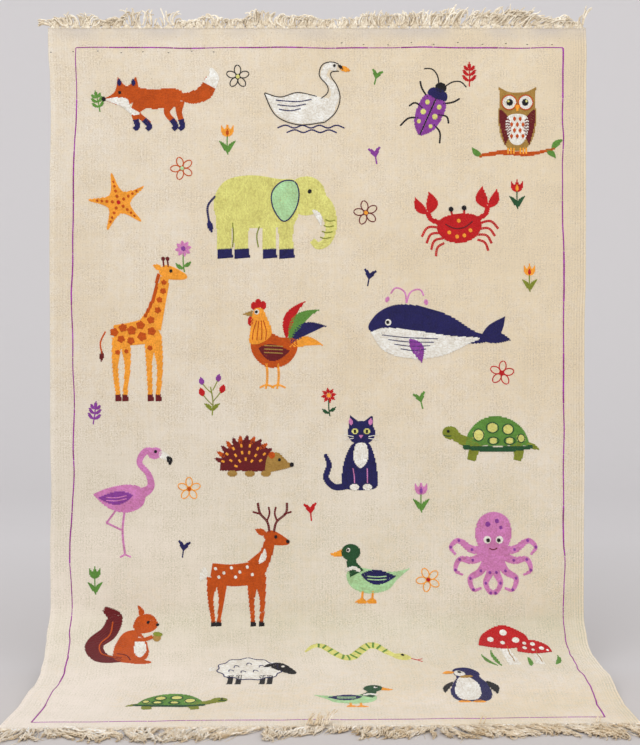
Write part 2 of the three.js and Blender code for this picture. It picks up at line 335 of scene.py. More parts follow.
def spline(points: Path, closed: bool = True, steps: int = 6) -> np.ndarray:
    """Draws a smooth curve through points. A point that is given twice makes a corner.

    Args:
        points: The points, in millimetres.
        closed: Whether the curve joins up.
        steps: The number of steps between two points.

    Returns:
        The places along the curve.
    """
    given = np.asarray(points, float)
    if closed:
        padded = np.concatenate([given[-1:], given, given[:2]])
    else:
        padded = np.concatenate([2 * given[:1] - given[1:2], given, 2 * given[-1:] - given[-2:-1]])
    share = np.linspace(0, 1, steps, endpoint=False)[:, None]
    parts = []
    for a, b, c, d in zip(padded, padded[1:], padded[2:], padded[3:]):
        if np.allclose(b, c):
            continue
        pull_b = (c - a) / 2 if not np.allclose(a, b) else (c - b) / 2
        pull_c = (d - b) / 2 if not np.allclose(c, d) else (c - b) / 2
        parts.append(
            (2 * share**3 - 3 * share**2 + 1) * b
            + (share**3 - 2 * share**2 + share) * pull_b
            + (3 * share**2 - 2 * share**3) * c
            + (share**3 - share**2) * pull_c
        )
    if not closed:
        parts.append(given[-1:])
    return np.concatenate(parts)


def oval(x: float, y: float, wide: float, high: float, tilt: float = 0, steps: int = 24) -> np.ndarray:
    """Draws an oval.

    Args:
        x: The place of its middle to the right.
        y: The place of its middle upwards.
        wide: Its half width.
        high: Its half height.
        tilt: Its turn to the left, in degrees.
        steps: The number of its points.

    Returns:
        The places along its outline.
    """
    turn = np.linspace(0, 2 * np.pi, steps, endpoint=False)
    flat = np.stack([wide * np.cos(turn), high * np.sin(turn)], -1)
    return flat @ turning(tilt).T + (x, y)


def turning(degrees: float) -> np.ndarray:
    """Returns the matrix that turns flat places to the left."""
    angle = math.radians(degrees)
    return np.array([[math.cos(angle), -math.sin(angle)], [math.sin(angle), math.cos(angle)]])


def band(points: Sequence[Point], widths: Sequence[float]) -> np.ndarray:
    """Draws a band of changing width along a smooth curve.

    Args:
        points: The points of its middle line.
        widths: Its width at each of them.

    Returns:
        The places along its outline.
    """
    middle = spline(points, closed=False)
    spread = np.interp(np.linspace(0, len(points) - 1, len(middle)), np.arange(len(points)), widths)
    way = unit(np.gradient(middle, axis=0))
    aside = np.stack([-way[:, 1], way[:, 0]], -1) * spread[:, None] / 2
    return np.concatenate([middle + aside, (middle - aside)[::-1]])


def leaf(start: Point, finish: Point, width: float, bow: float = 0) -> np.ndarray:
    """Draws a leaf that is pointed at both ends.

    Args:
        start: Its foot.
        finish: Its tip.
        width: Its width at the widest place.
        bow: How far its middle line bends to the left.

    Returns:
        The places along its outline.
    """
    a, b = np.asarray(start, float), np.asarray(finish, float)
    aside = unit(np.array([a[1] - b[1], b[0] - a[0]]))
    share = np.linspace(0, 1, 13)[:, None]
    middle = a + (b - a) * share + aside * bow * 4 * share * (1 - share)
    half = aside * width / 2 * np.sin(np.pi * share**0.85)
    return np.concatenate([middle + half, (middle - half)[-2:0:-1]])


def star(x: float, y: float, arms: int, outer: float, inner: float, turn: float) -> np.ndarray:
    """Draws a star with rounded arms.

    Args:
        x: The place of its middle to the right.
        y: The place of its middle upwards.
        arms: The number of its arms.
        outer: The distance from its middle to the arms' tips.
        inner: The distance to the hollows between them.
        turn: The direction of its first arm, in degrees.

    Returns:
        The places along its outline.
    """
    points = []
    for number in range(2 * arms):
        angle = math.radians(turn) + math.pi * number / arms
        reach = inner if number % 2 else outer
        points.append((x + reach * math.cos(angle), y + reach * math.sin(angle)))
    return spline(points, steps=5)


@dataclass(frozen=True)
class StitchForm:
    """The small mesh that every stitch of a kind is a copy of.

    A point is given as its share of the length, its share of half the width to the left, and its share of
    the rise. The sign of the way out is 1 on the embroidered face and -1 on the reverse.
    """

    points: tuple[tuple[float, float, float], ...]
    faces: tuple[tuple[int, int, int], ...]
    out: int = 1


def plump_form() -> StitchForm:
    """Returns the plump stitch, which has a tip at each end and three stations between them."""
    points = [(0.0, 0.0, -0.15)]
    faces = [(0, n, n + 1) for n in (1, 2, 3)]
    for along, wide, high in ((0.15, 0.74, 0.78), (0.5, 1.0, 1.0), (0.85, 0.74, 0.78)):
        points += [
            (along, -wide, -0.05),
            (along, -0.5 * wide, high),
            (along, 0.5 * wide, high),
            (along, wide, -0.05),
        ]
    for station in (1, 5):
        for n in range(station, station + 3):
            faces += [(n, n + 4, n + 5), (n, n + 5, n + 1)]
    points.append((1.0, 0.0, -0.15))
    faces += [(n, 13, n + 1) for n in (9, 10, 11)]
    return StitchForm(tuple(points), tuple(faces))


class StitchKind(Enum):
    """The kinds of stitch."""

    PLUMP = plump_form()
    PADDING = StitchForm(((0, -1, 1), (1, -1, 1), (1, 1, 1), (0, 1, 1)), ((0, 1, 2), (0, 2, 3)))
    FLOAT = StitchForm(
        ((0, 0, -0.3), (0.5, -1, 0), (0.5, 0, 1), (0.5, 1, 0), (1, 0, -0.3)),
        ((0, 2, 1), (0, 3, 2), (1, 2, 4), (2, 3, 4)),
        out=-1,
    )


@dataclass
class StitchBasket:
    """Collects the stitches of all motifs by their yarn and kind.

    A stitch is a row of seven numbers: its start and its finish as flat places, its width, the height that
    it starts from, and its rise.
    """

    stitches: dict[tuple[Yarn, StitchKind], list[np.ndarray]] = field(default_factory=dict)

    def add(self, yarn: Yarn, kind: StitchKind, ends: np.ndarray, sizes: tuple[float, ...]) -> None:
        """Adds stitches of one yarn and kind: their starts and finishes in rows, and the sizes of all."""
        rows = np.hstack([ends, np.broadcast_to(sizes, (len(ends), 3))])
        self.stitches.setdefault((yarn, kind), []).append(rows)

    def of(self, yarn: Yarn, kind: StitchKind) -> np.ndarray:
        """Returns all the stitches of one yarn and kind."""
        return np.concatenate(self.stitches.get((yarn, kind), [np.empty((0, 7))]))


def spans_inside(outlines: Sequence[np.ndarray], pitch: float) -> Iterator[tuple[float, float, float]]:
    """Finds the level runs that lie inside any of several outlines.

    Args:
        outlines: Closed outlines.
        pitch: The distance between two rows of runs, at most.

    Yields:
        The height of each run, its left end and its right end.
    """
    low = min(o[:, 1].min() for o in outlines)
    high = max(o[:, 1].max() for o in outlines)
    count = max(1, math.ceil((high - low) / pitch))
    for row in range(count):
        y = low + (row + 0.5) * (high - low) / count
        runs = []
        for outline in outlines:
            after = np.roll(outline, -1, 0)
            cut = (outline[:, 1] > y) != (after[:, 1] > y)
            a, b = outline[cut], after[cut]
            x = np.sort(a[:, 0] + (y - a[:, 1]) * (b[:, 0] - a[:, 0]) / (b[:, 1] - a[:, 1]))
            runs.extend(zip(x[::2], x[1::2]))
        runs.sort()
        while runs:
            start, finish = runs.pop(0)
            while runs and runs[0][0] <= finish:
                finish = max(finish, runs.pop(0)[1])
            yield y, start, finish


@dataclass
class Pen:
    """Draws one motif on the cloth in stitches.

    A motif is drawn in millimetres around its own middle, with y upwards.
    """

    basket: StitchBasket
    side: float
    down: float
    size: float = 1
    turn: float = 0
    flip: bool = False
    seed: int = 0
    row_pitch: float = 2.5
    stitch_length: float = 6.4
    stitch_width: float = 3.1
    rise: float = 0.9
    layer_lift: float = 0.6
    float_length: float = 13
    float_width: float = 4.4
    stagger: float = 0.24  # how far every other row is shifted, as a share of a stitch
    overlap: float = 0.4
    shortest_row: float = 1.2
    line_stitch: float = 4.6
    line_strand: float = 4.4

    def __post_init__(self) -> None:
        """Starts the pen's own row of random numbers."""
        self.chance = np.random.default_rng(self.seed)

    def _onto_cloth(self, ends: np.ndarray) -> np.ndarray:
        """Takes stitches from the motif's own millimetres to flat places on the cloth.

        Args:
            ends: Starts and finishes, as rows of four numbers.

        Returns:
            The same, as flat places.
        """
        places = ends.reshape(-1, 2, 2) * ((-1, 1) if self.flip else (1, 1))
        places = places @ turning(self.turn).T * MM
        return np.stack([self.side + places[..., 0], self.down - places[..., 1]], -1).reshape(-1, 4)

    def _sew(self, yarn: Yarn, kind: StitchKind, ends: np.ndarray, width: float, over: int) -> None:
        """Sews stitches that are given in the motif's own millimetres.

        Args:
            yarn: The yarn.
            kind: The kind of stitch.
            ends: Starts and finishes, as rows of four numbers.
            width: The width of a stitch.
            over: The number of layers that it lies over.
        """
        rise = {StitchKind.PLUMP: self.rise, StitchKind.PADDING: 0.3, StitchKind.FLOAT: 0.8}[kind]
        sizes = (width * MM, over * self.layer_lift * MM, rise * MM)
        self.basket.add(yarn, kind, self._onto_cloth(np.asarray(ends, float)), sizes)

    def fill(self, yarn: Yarn, *shapes: Path, rows: float = 0, bow: float = 0, over: int = 0) -> None:
        """Fills shapes with rows of stitches, as one patch.

        Args:
            yarn: The yarn.
            shapes: Closed outlines, or lists of points that are joined by a smooth curve. They are filled
                wherever any of them reaches.
            rows: The direction of the rows, in degrees.
            bow: How far the rows bend up at the patch's sides.
            over: The number of layers that the patch lies over.
        """
        outlines = [spline(shape) if isinstance(shape, list) else shape for shape in shapes]
        straight = [outline * self.size @ turning(-rows).T for outline in outlines]
        every = np.concatenate(straight)
        middle = (every[:, 0].min() + every[:, 0].max()) / 2
        half = max(np.ptp(every[:, 0]) / 2, 1)

        def bent(x: np.ndarray | float) -> np.ndarray | float:
            """Returns how far the rows are bent up at a place along them."""
            return bow * ((x - middle) / half) ** 2

        level = [np.stack([s[:, 0], s[:, 1] - bent(s[:, 0])], -1) for s in straight]
        front, under, back = [], [], []
        for number, (y, start, finish) in enumerate(spans_inside(level, self.row_pitch)):
            length = finish - start
            if length < self.shortest_row:
                continue
            count = max(1, round(length / self.stitch_length))
            cuts = np.linspace(start, finish, count + 1)
            if count > 1:
                step = length / count
                cuts[1:-1] += (self.stagger if number % 2 else -self.stagger) * step
                cuts[1:-1] += self.chance.normal(0, 0.09, count - 1) * step
            ragged = self.chance.uniform(-0.1, 0.8, 2)
            cuts[0] -= ragged[0]
            cuts[-1] += ragged[1]
            sway = self.chance.normal(0, 0.16, (count, 2))
            begins, ends = cuts[:-1] - self.overlap, cuts[1:] + self.overlap
            heights = y + bent(begins) + sway[:, 0], y + bent(ends) + sway[:, 1]
            front.append(np.stack([begins, heights[0], ends, heights[1]], -1))
            for rows_of, share, inset in ((under, 1.0, -0.1), (back, 0.9, 0.8)):
                if rows_of is back and number % 2:
                    continue
                count = max(1, round(length * share / self.float_length))
                cuts = np.linspace(start, finish, count + 1)
                begins, ends = cuts[:-1] + inset, cuts[1:] - inset
                rows_of.append(np.stack([begins, y + bent(begins), ends, y + bent(ends)], -1))
        kinds = (
            (StitchKind.PLUMP, front, self.stitch_width, over),
            (StitchKind.PADDING, under, self.row_pitch * 1.06, over),
            (StitchKind.FLOAT, back, self.float_width, 0),
        )
        for kind, runs, width, layer in kinds:
            if runs:
                ends = np.concatenate(runs).reshape(-1, 2) @ turning(rows).T
                self._sew(yarn, kind, ends.reshape(-1, 4), width, layer)

    def line(self, yarn: Yarn, points: Path, width: float, over: int = 1, closed: bool = False) -> None:
        """Works a line of slanting stitches along a smooth curve.

        Args:
            yarn: The yarn.
            points: The points of the curve.
            width: The line's width.
            over: The number of layers that it lies over.
            closed: Whether the curve joins up.
        """
        path = spline(points, closed) * self.size
        if closed:
            path = np.concatenate([path, path[:1]])
        so_far = distances(path)
        total = so_far[-1]
        count = max(1, round(total / self.line_stitch))
        step = total / count
        begins = np.clip(np.arange(count) * step - 0.8, 0, total)
        ends = np.clip(np.arange(count) * step + step + 1.2, 0, total)

        def at(distance: np.ndarray) -> np.ndarray:
            """Returns the places at distances along the path."""
            return np.stack([np.interp(distance, so_far, path[:, n]) for n in (0, 1)], -1)

        a, b = at(begins), at(ends)
        way = unit(b - a)
        aside = np.stack([-way[:, 1], way[:, 0]], -1)
        strands = max(1, math.ceil(width / self.line_strand))
        each = width / strands
        for strand in range(strands):
            offset = (strand + 0.5) * each - width / 2
            slant = 0.16 * each + self.chance.normal(0, 0.12, (count, 1))
            rows = np.hstack([a + aside * (offset - slant), b + aside * (offset + slant)])
            self._sew(yarn, StitchKind.PLUMP, rows, each * 1.1, over)
        self._sew(yarn, StitchKind.FLOAT, np.hstack([a, b])[::2], 2.6, 0)

    def dot(self, yarn: Yarn, x: float, y: float, radius: float, over: int = 2) -> None:
        """Works a round dot around a middle, over a number of layers."""
        self.fill(yarn, oval(x, y, radius, radius, steps=14), rows=20, over=over)


def tortoise(pen: Pen) -> None:
    """Works a tortoise that walks to the left."""
    pen.fill(OLIVE, leaf((74, -8), (108, -24), 12), rows=-20)
    legs = [
        band([(-44, -8), (-54, -30), (-60, -50)], (26, 23, 20)),
        band([(48, -8), (56, -30), (52, -50)], (28, 24, 20)),
    ]
    pen.fill(OLIVE, *legs, rows=80)
    neck = band([(-58, -8), (-86, 2), (-104, 14)], (26, 23, 24))
    pen.fill(OLIVE, neck, oval(-110, 17, 20, 16, -10), rows=-20)
    shell = spline(
        [(-74, -14), (-74, -14), (-66, 18), (-40, 46), (-4, 58), (36, 50), (68, 24), (84, -14), (84, -14)]
    )
    pen.fill(GREEN, shell, bow=-10)
    pen.fill(PINE, band([(-80, -17), (-30, -22), (40, -22), (90, -17)], (9, 12, 12, 8)), over=1)
    for x, y, wide, high in (
        (-42, 12, 13, 15), (-8, 30, 15, 13), (30, 26, 14, 13), (-6, -2, 14, 9), (34, -2, 14, 9),
        (62, 4, 9, 11),
    ):
        pen.fill(LIME, star(x, y, 6, high, high * 0.86, 90), over=1)
        pen.line(PINE, oval(x, y, wide, high, steps=7), 2.6, 2, closed=True)
    pen.dot(BLACK, -116, 21, 3)
    pen.line(PINE, [(-128, 12), (-118, 9), (-108, 10)], 2.2, 2)


def cockerel(pen: Pen) -> None:
    """Works a cockerel that looks to the right."""
    for x in (-8, 18):
        pen.line(ORANGE, [(x, -38), (x - 2, -66), (x, -90)], 5.5, 0)
        pen.line(ORANGE, [(x - 18, -95), (x, -88), (x + 16, -95)], 4.5, 0)
        pen.line(ORANGE, [(x, -88), (x + 2, -98)], 4.5, 0)
    plumes = (
        (ORANGE, (-34, -2), (-112, 2), 22, 12),
        (NAVY, (-36, 6), (-120, 46), 28, 16),
        (GREEN, (-34, 12), (-104, 84), 28, 18),
        (RED, (-28, 16), (-72, 104), 24, 16),
    )
    for yarn, start, finish, width, bow in plumes:
        way = math.degrees(math.atan2(finish[1] - start[1], finish[0] - start[0]))
        pen.fill(yarn, leaf(start, finish, width, -bow), rows=way)
    body = [(-50, 16), (-50, -14), (-26, -42), (14, -48), (44, -26), (54, 6), (42, 34), (14, 34), (-16, 20)]
    pen.fill(RUST, body, rows=10, bow=8)
    neck = [(6, 30), (30, 8), (56, 8), (54, 40), (52, 66), (44, 86), (28, 86), (18, 68)]
    pen.fill(ORANGE, neck, rows=80, over=1)
    for x in (18, 28, 38, 48):
        pen.line(RUST, [(x * 0.5 + 16, 60), (x, 34), (x + 2, 14)], 2.4, 2)
    pen.fill(MAROON, leaf((36, -4), (-36, -10), 38, 8), rows=4, over=1)
    for y in (-14, -6, 2):
        pen.line(OCHRE, [(24, y), (0, y - 1), (-20, y - 2)], 2.6, 2)
    pen.fill(RED, oval(26, 94, 7, 10), oval(37, 98, 7, 11), oval(47, 93, 6, 9), rows=90)
    pen.fill(RED, oval(54, 58, 6, 11), rows=90, over=1)
    pen.fill(OCHRE, [(50, 82), (50, 82), (72, 74), (72, 74), (51, 68), (51, 68)], over=1)
    pen.dot(CREAM, 40, 79, 5.5)
    pen.dot(BLACK, 41, 79, 3, 3)


def crab(pen: Pen) -> None:
    """Works a crab, seen from above."""
    for s in (-1, 1):
        for k in range(4):
            path = [
                (s * 40, 6 - 12 * k), (s * (76 - 6 * k), 12 - 17 * k), (s * (94 - 10 * k), -10 - 17 * k)
            ]
            pen.line(RED, path, 5.5, 0)
        pen.fill(RED, band([(s * 38, 16), (s * 66, 30), (s * 74, 50)], (12, 11, 12)), rows=s * 40)
        pincer = [
            leaf((s * 70, 44), (s * 66, 98), 28, s * 8), leaf((s * 74, 44), (s * 100, 88), 22, -s * 6)
        ]
        pen.fill(RED, *pincer, rows=90)
        pen.line(RED, [(s * 14, 28), (s * 16, 46)], 5, 0)
        pen.dot(BLACK, s * 16, 50, 5.5)
    shell = [(-54, 2), (-46, 26), (-20, 36), (20, 36), (46, 26), (54, 2), (36, -24), (0, -34), (-36, -24)]
    pen.fill(RED, shell, bow=6)
    pen.line(MAROON, [(-34, 16), (-16, 4), (0, 1), (16, 4), (34, 16)], 3.4)
    for x, y in ((-26, -6), (0, 20), (26, -6), (-8, -18), (10, -17)):
        pen.dot(ORANGE, x, y, 4.2, 1)


def owl(pen: Pen) -> None:
    """Works an owl on a twig."""
    pen.fill(RUST, band([(-92, -80), (-34, -72), (30, -76), (92, -62)], (7, 11, 9, 5)), rows=3)
    for start, finish in (((84, -64), (112, -40)), ((70, -66), (94, -86)), ((-86, -80), (-110, -60))):
        pen.fill(GREEN, leaf(start, finish, 14, 3), rows=40)
    body = [
        (-42, 58), (-46, 18), (-40, -32), (-18, -64), (18, -64), (40, -32), (46, 18), (42, 58), (46, 88),
        (46, 88), (22, 76), (0, 74), (-22, 76), (-46, 88), (-46, 88),
    ]
    pen.fill(OCHRE, body, rows=90)
    pen.fill(
        CREAM, [(-24, 14), (-27, -18), (-12, -50), (12, -50), (27, -18), (24, 14), (0, 22)], rows=90, over=1
    )
    for row, y in enumerate((10, -4, -18, -32)):
        for x in (-14, 0, 14) if row % 2 else (-7, 7):
            pen.fill(RUST, leaf((x, y + 5), (x, y - 6), 6), rows=90, over=2)
    for s in (-1, 1):
        pen.fill(MAROON, leaf((s * 42, 34), (s * 30, -54), 26, -s * 8), rows=90, over=1)
        pen.fill(CREAM, oval(s * 20, 50, 18, 18), rows=s * 45, over=1)
        pen.line(RUST, oval(s * 20, 50, 18, 18, steps=10), 3, 2, closed=True)
        pen.dot(BLACK, s * 19, 50, 8)
        pen.dot(LIME, s * 22, 53, 2.4, 3)
        for x in (8, 15, 22):
            pen.line(ORANGE, [(s * x, -60), (s * x, -76)], 4, 1)
    pen.fill(ORANGE, [(-7, 44), (-7, 44), (7, 44), (7, 44), (0, 26), (0, 26)], rows=90, over=2)


def elephant(pen: Pen) -> None:
    """Works an elephant that walks to the left."""
    pen.line(NAVY, [(118, 46), (136, 22), (132, -16)], 5, 0)
    pen.fill(NAVY, leaf((134, -8), (126, -38), 12), rows=80)
    legs = ((-40, -6, 38, 31), (-2, -6, 34, 28), (60, -4, 40, 31), (98, 10, 40, 31))
    for x, y, top, foot in legs:
        pen.fill(NAVY, band([(x, -72), (x - 1, -82), (x - 2, -94)], (foot, foot + 1, foot + 4)), rows=90)
    solid = [band([(x, y), (x + 1, -40), (x, -74)], (top, foot + 1, foot)) for x, y, top, foot in legs]
    trunk = band(
        [(-98, 40), (-128, 20), (-140, -20), (-132, -54), (-112, -66), (-98, -54)], (50, 36, 26, 20, 16, 13)
    )
    back = [
        (-62, 76), (-20, 84), (40, 92), (92, 82), (118, 50), (120, 8), (96, -22), (30, -26), (-34, -22),
        (-66, 0),
    ]
    pen.fill(LIME, back, oval(-84, 46, 44, 44), trunk, *solid, rows=90)
    ear = [(-58, 78), (-30, 78), (-8, 54), (-10, 20), (-30, -10), (-48, -4), (-64, 24), (-68, 54)]
    pen.fill(MINT, ear, rows=70, over=1)
    pen.line(NAVY, ear, 3, 2, closed=True)
    pen.line(OLIVE, [(20, -22), (26, -44), (22, -70)], 2.8)
    pen.line(OLIVE, [(80, -14), (78, -44), (80, -70)], 2.8)
    for k in range(4):
        pen.line(
            OLIVE,
            [(-150 + 3 * k, -8 - 13 * k), (-138 + 4 * k, -11 - 13 * k), (-127 + 4 * k, -7 - 13 * k)],
            2.6,
        )
    pen.fill(CREAM, leaf((-98, 16), (-118, -22), 12, -5), rows=60, over=1)
    pen.dot(BLACK, -92, 56, 4.2)


def whale(pen: Pen) -> None:
    """Works a whale that swims to the left."""
    upper = [
        (-136, -2), (-128, 34), (-90, 58), (-34, 60), (30, 44), (82, 16), (112, 6), (112, -8), (60, -14),
        (-40, -8),
    ]
    flukes = [leaf((102, 0), (150, 50), 30, -6), leaf((102, 0), (166, 0), 26, 4)]
    pen.fill(NAVY, upper, *flukes, rows=-12)
    belly = [
        (-136, -4), (-136, -4), (-104, -42), (-46, -54), (20, -44), (76, -14), (98, 0), (40, 0), (-40, 6),
        (-104, 8),
    ]
    pen.fill(CREAM, belly, bow=14, over=1)
    for k in range(4):
        path = [(-112 + 14 * k, -8 - 9 * k), (-60 + 6 * k, -10 - 9 * k), (10 - 8 * k, -8 - 8 * k)]
        pen.line(NAVY, path, 2.2, 2)
    pen.fill(PURPLE, leaf((-52, -12), (-22, -62), 26, 6), rows=-60, over=2)
    pen.dot(CREAM, -100, 20, 6.5)
    pen.dot(BLACK, -101, 20, 3.4, 3)
    for s in (-1, 1):
        pen.line(MAUVE, [(-64, 64), (-64 + s * 6, 88), (-64 + s * 26, 96), (-64 + s * 36, 82)], 4, 0)
        pen.fill(MAUVE, leaf((-64 + s * 40, 76), (-64 + s * 44, 62), 8), rows=90)


def fox(pen: Pen) -> None:
    """Works a fox that walks to the left."""
    brush = [(46, 16), (84, 12), (116, 26), (132, 56)]
    pen.fill(RUST, band(brush, (12, 30, 38, 30)), rows=30)
    pen.fill(CREAM, band([(126, 42), (136, 62), (132, 84)], (34, 28, 6)), rows=70, over=1)
    legs = ((-46, -58, -50), (-24, -50, -20), (36, 22, 44), (54, 52, 60))
    solid = [band([(x, 4), (knee, -24), (foot, -52)], (24, 14, 11)) for x, knee, foot in legs]
    head = [
        (-132, 8), (-132, 8), (-104, 26), (-96, 62), (-96, 62), (-80, 42), (-66, 44), (-52, 64), (-52, 64),
        (-46, 30), (-56, 4), (-88, -8),
    ]
    body = band([(-56, 14), (-10, 8), (30, 12), (56, 8)], (48, 46, 48, 40))
    pen.fill(RUST, body, head, *solid)
    for _, knee, foot in legs:
        pen.fill(
            NAVY,
            band([(0.45 * knee + 0.55 * foot, -42), (foot, -58), (foot - 7, -66)], (13, 12, 10)),
            rows=90,
            over=1,
        )
    cheek = [(-132, 7), (-132, 7), (-100, 12), (-74, 8), (-66, -12), (-44, -26), (-62, -30), (-88, -10)]
    pen.fill(CREAM, cheek, rows=10, over=1)
    for x in (-92, -58):
        pen.fill(NAVY, leaf((x, 40), (x - 1, 58), 9), rows=90, over=2)
    pen.dot(BLACK, -131, 8, 5)
    pen.dot(BLACK, -92, 24, 3.4)


def cat(pen: Pen) -> None:
    """Works a cat that sits and looks out."""
    tail = band([(-26, -78), (-66, -84), (-90, -60), (-82, -26), (-92, 2)], (18, 16, 15, 14, 8))
    body = [(-38, -88), (-48, -56), (-40, -10), (-18, 30), (20, 32), (38, -8), (44, -56), (36, -88)]
    ears = [spline([(-30, 62), (-30, 62), (-26, 104), (-26, 104), (0, 84), (0, 84)])]
    ears.append(spline([(34, 62), (34, 62), (32, 104), (32, 104), (6, 84), (6, 84)]))
    pen.fill(NAVY, tail, body, oval(3, 58, 36, 31), *ears, rows=90)
    pen.fill(CREAM, [(-13, 24), (-17, -12), (0, -34), (19, -12), (17, 24), (2, 32)], rows=90, over=1)
    for x in (-16, 18):
        pen.fill(CREAM, oval(x, -84, 12, 8), over=1)
        pen.line(MAUVE, [(x - 2 + x * 0.1, -34), (x, -58), (x, -74)], 2.6)
        pen.fill(LIME, oval(x * 0.92 + 1, 62, 8.5, 7), over=1)
        pen.fill(BLACK, leaf((x * 0.92 + 1, 56), (x * 0.92 + 1, 68), 5), rows=90, over=2)
        pen.fill(MAUVE, leaf((x * 1.45, 78), (x * 1.6, 96), 10), rows=90, over=1)
        for k in (-1, 1):
            pen.line(CREAM, [(x * 1.1 + 1, 46 + 2 * k), (x * 2.7, 46 + 7 * k)], 1.8, 2)
    pen.fill(MAUVE, [(-4, 52), (-4, 52), (8, 52), (8, 52), (2, 44), (2, 44)], over=2)


def stag(pen: Pen) -> None:
    """Works a stag that looks to the right."""
    legs = ((-66, -72, -64), (-46, -46, -52), (30, 26, 30), (46, 52, 50))
    solid = [band([(x, 0), (knee, -50), (foot, -108)], (30, 13, 9)) for x, knee, foot in legs]
    for _, knee, foot in legs:
        pen.fill(BLACK, band([(foot, -104), (foot + 1, -118)], (11, 13)), rows=90)
    body = band([(-70, 12), (-20, 6), (30, 12), (50, 22)], (46, 52, 54, 44))
    neck = band([(38, 24), (60, 56), (70, 88)], (50, 30, 24))
    head = [(56, 96), (62, 110), (80, 112), (112, 92), (116, 82), (104, 78), (76, 80)]
    pen.fill(RUST, body, neck, head, *solid, rows=80)
    pen.fill(RUST, leaf((62, 104), (34, 116), 15), rows=-20)
    pen.fill(CREAM, leaf((-86, 26), (-98, -8), 18, 4), rows=70, over=1)
    pen.fill(CREAM, leaf((44, 34), (58, 70), 14, -4), rows=70, over=1)
    for s in (-1, 1):
        foot = 74 + 5 * s
        beam = [(foot, 108), (foot + 6 * s, 134), (foot + 2 + 26 * s, 154), (foot + 30 * s, 180)]
        pen.line(MAROON, beam, 5.4, 0)
        pen.line(MAROON, [(foot + 7 * s, 136), (foot + 1 * s, 154), (foot + 4 * s, 170)], 4.4, 0)
        pen.line(MAROON, [(foot + 22 * s, 152), (foot + 42 * s, 158)], 4.4, 0)
    for x, y in ((-60, 22), (-40, 12), (-22, 24), (-2, 14), (16, 26), (-52, 2), (-12, 2), (28, 8)):
        pen.dot(CREAM, x, y, 3.4, 1)
    pen.dot(BLACK, 84, 98, 3.4)
    pen.dot(BLACK, 113, 87, 4)


def hedgehog(pen: Pen) -> None:
    """Works a hedgehog that sniffs to the left."""
    for turn in range(12, 172, 13):
        angle = math.radians(turn)
        foot = (18 + 58 * math.cos(angle), -28 + 58 * math.sin(angle))
        tip = (18 + 86 * math.cos(angle + 0.06), -28 + 84 * math.sin(angle + 0.06))
        pen.fill(RUST if turn % 2 else MAROON, leaf(foot, tip, 11), rows=turn)
    coat = [(-50, -38), (-56, -8), (-34, 24), (6, 42), (48, 32), (78, 4), (86, -38), (86, -38)]
    pen.fill(MAROON, coat, bow=-14)
    snout = [(-38, -42), (-96, -30), (-104, -22), (-92, -16), (-66, 8), (-42, 2), (-34, -22)]
    pen.fill(OCHRE, snout, rows=20, over=1)
    for x in (-34, 8, 54):
        pen.fill(OCHRE, oval(x, -46, 13, 8))
    for row, (reach, count) in enumerate(((22, 4), (40, 6), (58, 7))):
        for k in range(count):
            angle = math.radians(20 + 140 * (k + 0.5 * (row % 2)) / count)
            x, y = (18 + reach * math.cos(angle), -36 + reach * math.sin(angle))
            tip = (x + 12 * math.cos(angle), y + 12 * math.sin(angle))
            pen.fill(ORANGE, leaf((x, y), tip, 4.6), rows=math.degrees(angle), over=1)
    pen.dot(BLACK, -102, -23, 5.5)
    pen.dot(BLACK, -70, -10, 3.6)
    pen.fill(RUST, oval(-50, 2, 8, 9), rows=90, over=2)


def flamingo(pen: Pen) -> None:
    """Works a flamingo that stands on one leg."""
    pen.line(MAUVE, [(4, -20), (8, -72), (2, -126)], 5, 0)
    pen.line(MAUVE, [(2, -126), (-12, -132)], 4.4, 0)
    pen.line(MAUVE, [(2, -126), (14, -133)], 4.4, 0)
    pen.line(MAUVE, [(20, -18), (44, -52), (44, -54), (10, -70)], 4.6, 0)
    neck = band(
        [(-26, 10), (-54, 28), (-50, 58), (-30, 84), (-44, 110), (-66, 108)], (26, 17, 13, 13, 15, 18)
    )
    body = [(-42, 10), (-34, -16), (2, -30), (44, -18), (78, 12), (78, 12), (44, 26), (0, 34), (-30, 28)]
    pen.fill(MAUVE, body, neck, oval(-66, 106, 16, 13, -15), rows=20)
    pen.fill(CREAM, [(-78, 112), (-96, 104), (-102, 90), (-88, 92), (-76, 98)], rows=40)
    pen.fill(BLACK, leaf((-94, 100), (-100, 78), 12, -3), rows=80, over=1)
    pen.fill(PURPLE, leaf((-14, 10), (66, 4), 30, -4), over=1)
    for y in (2, 9):
        pen.line(MAUVE, [(0, y), (24, y - 5), (48, y - 4)], 2.6, 2)
    pen.dot(BLACK, -68, 110, 3)


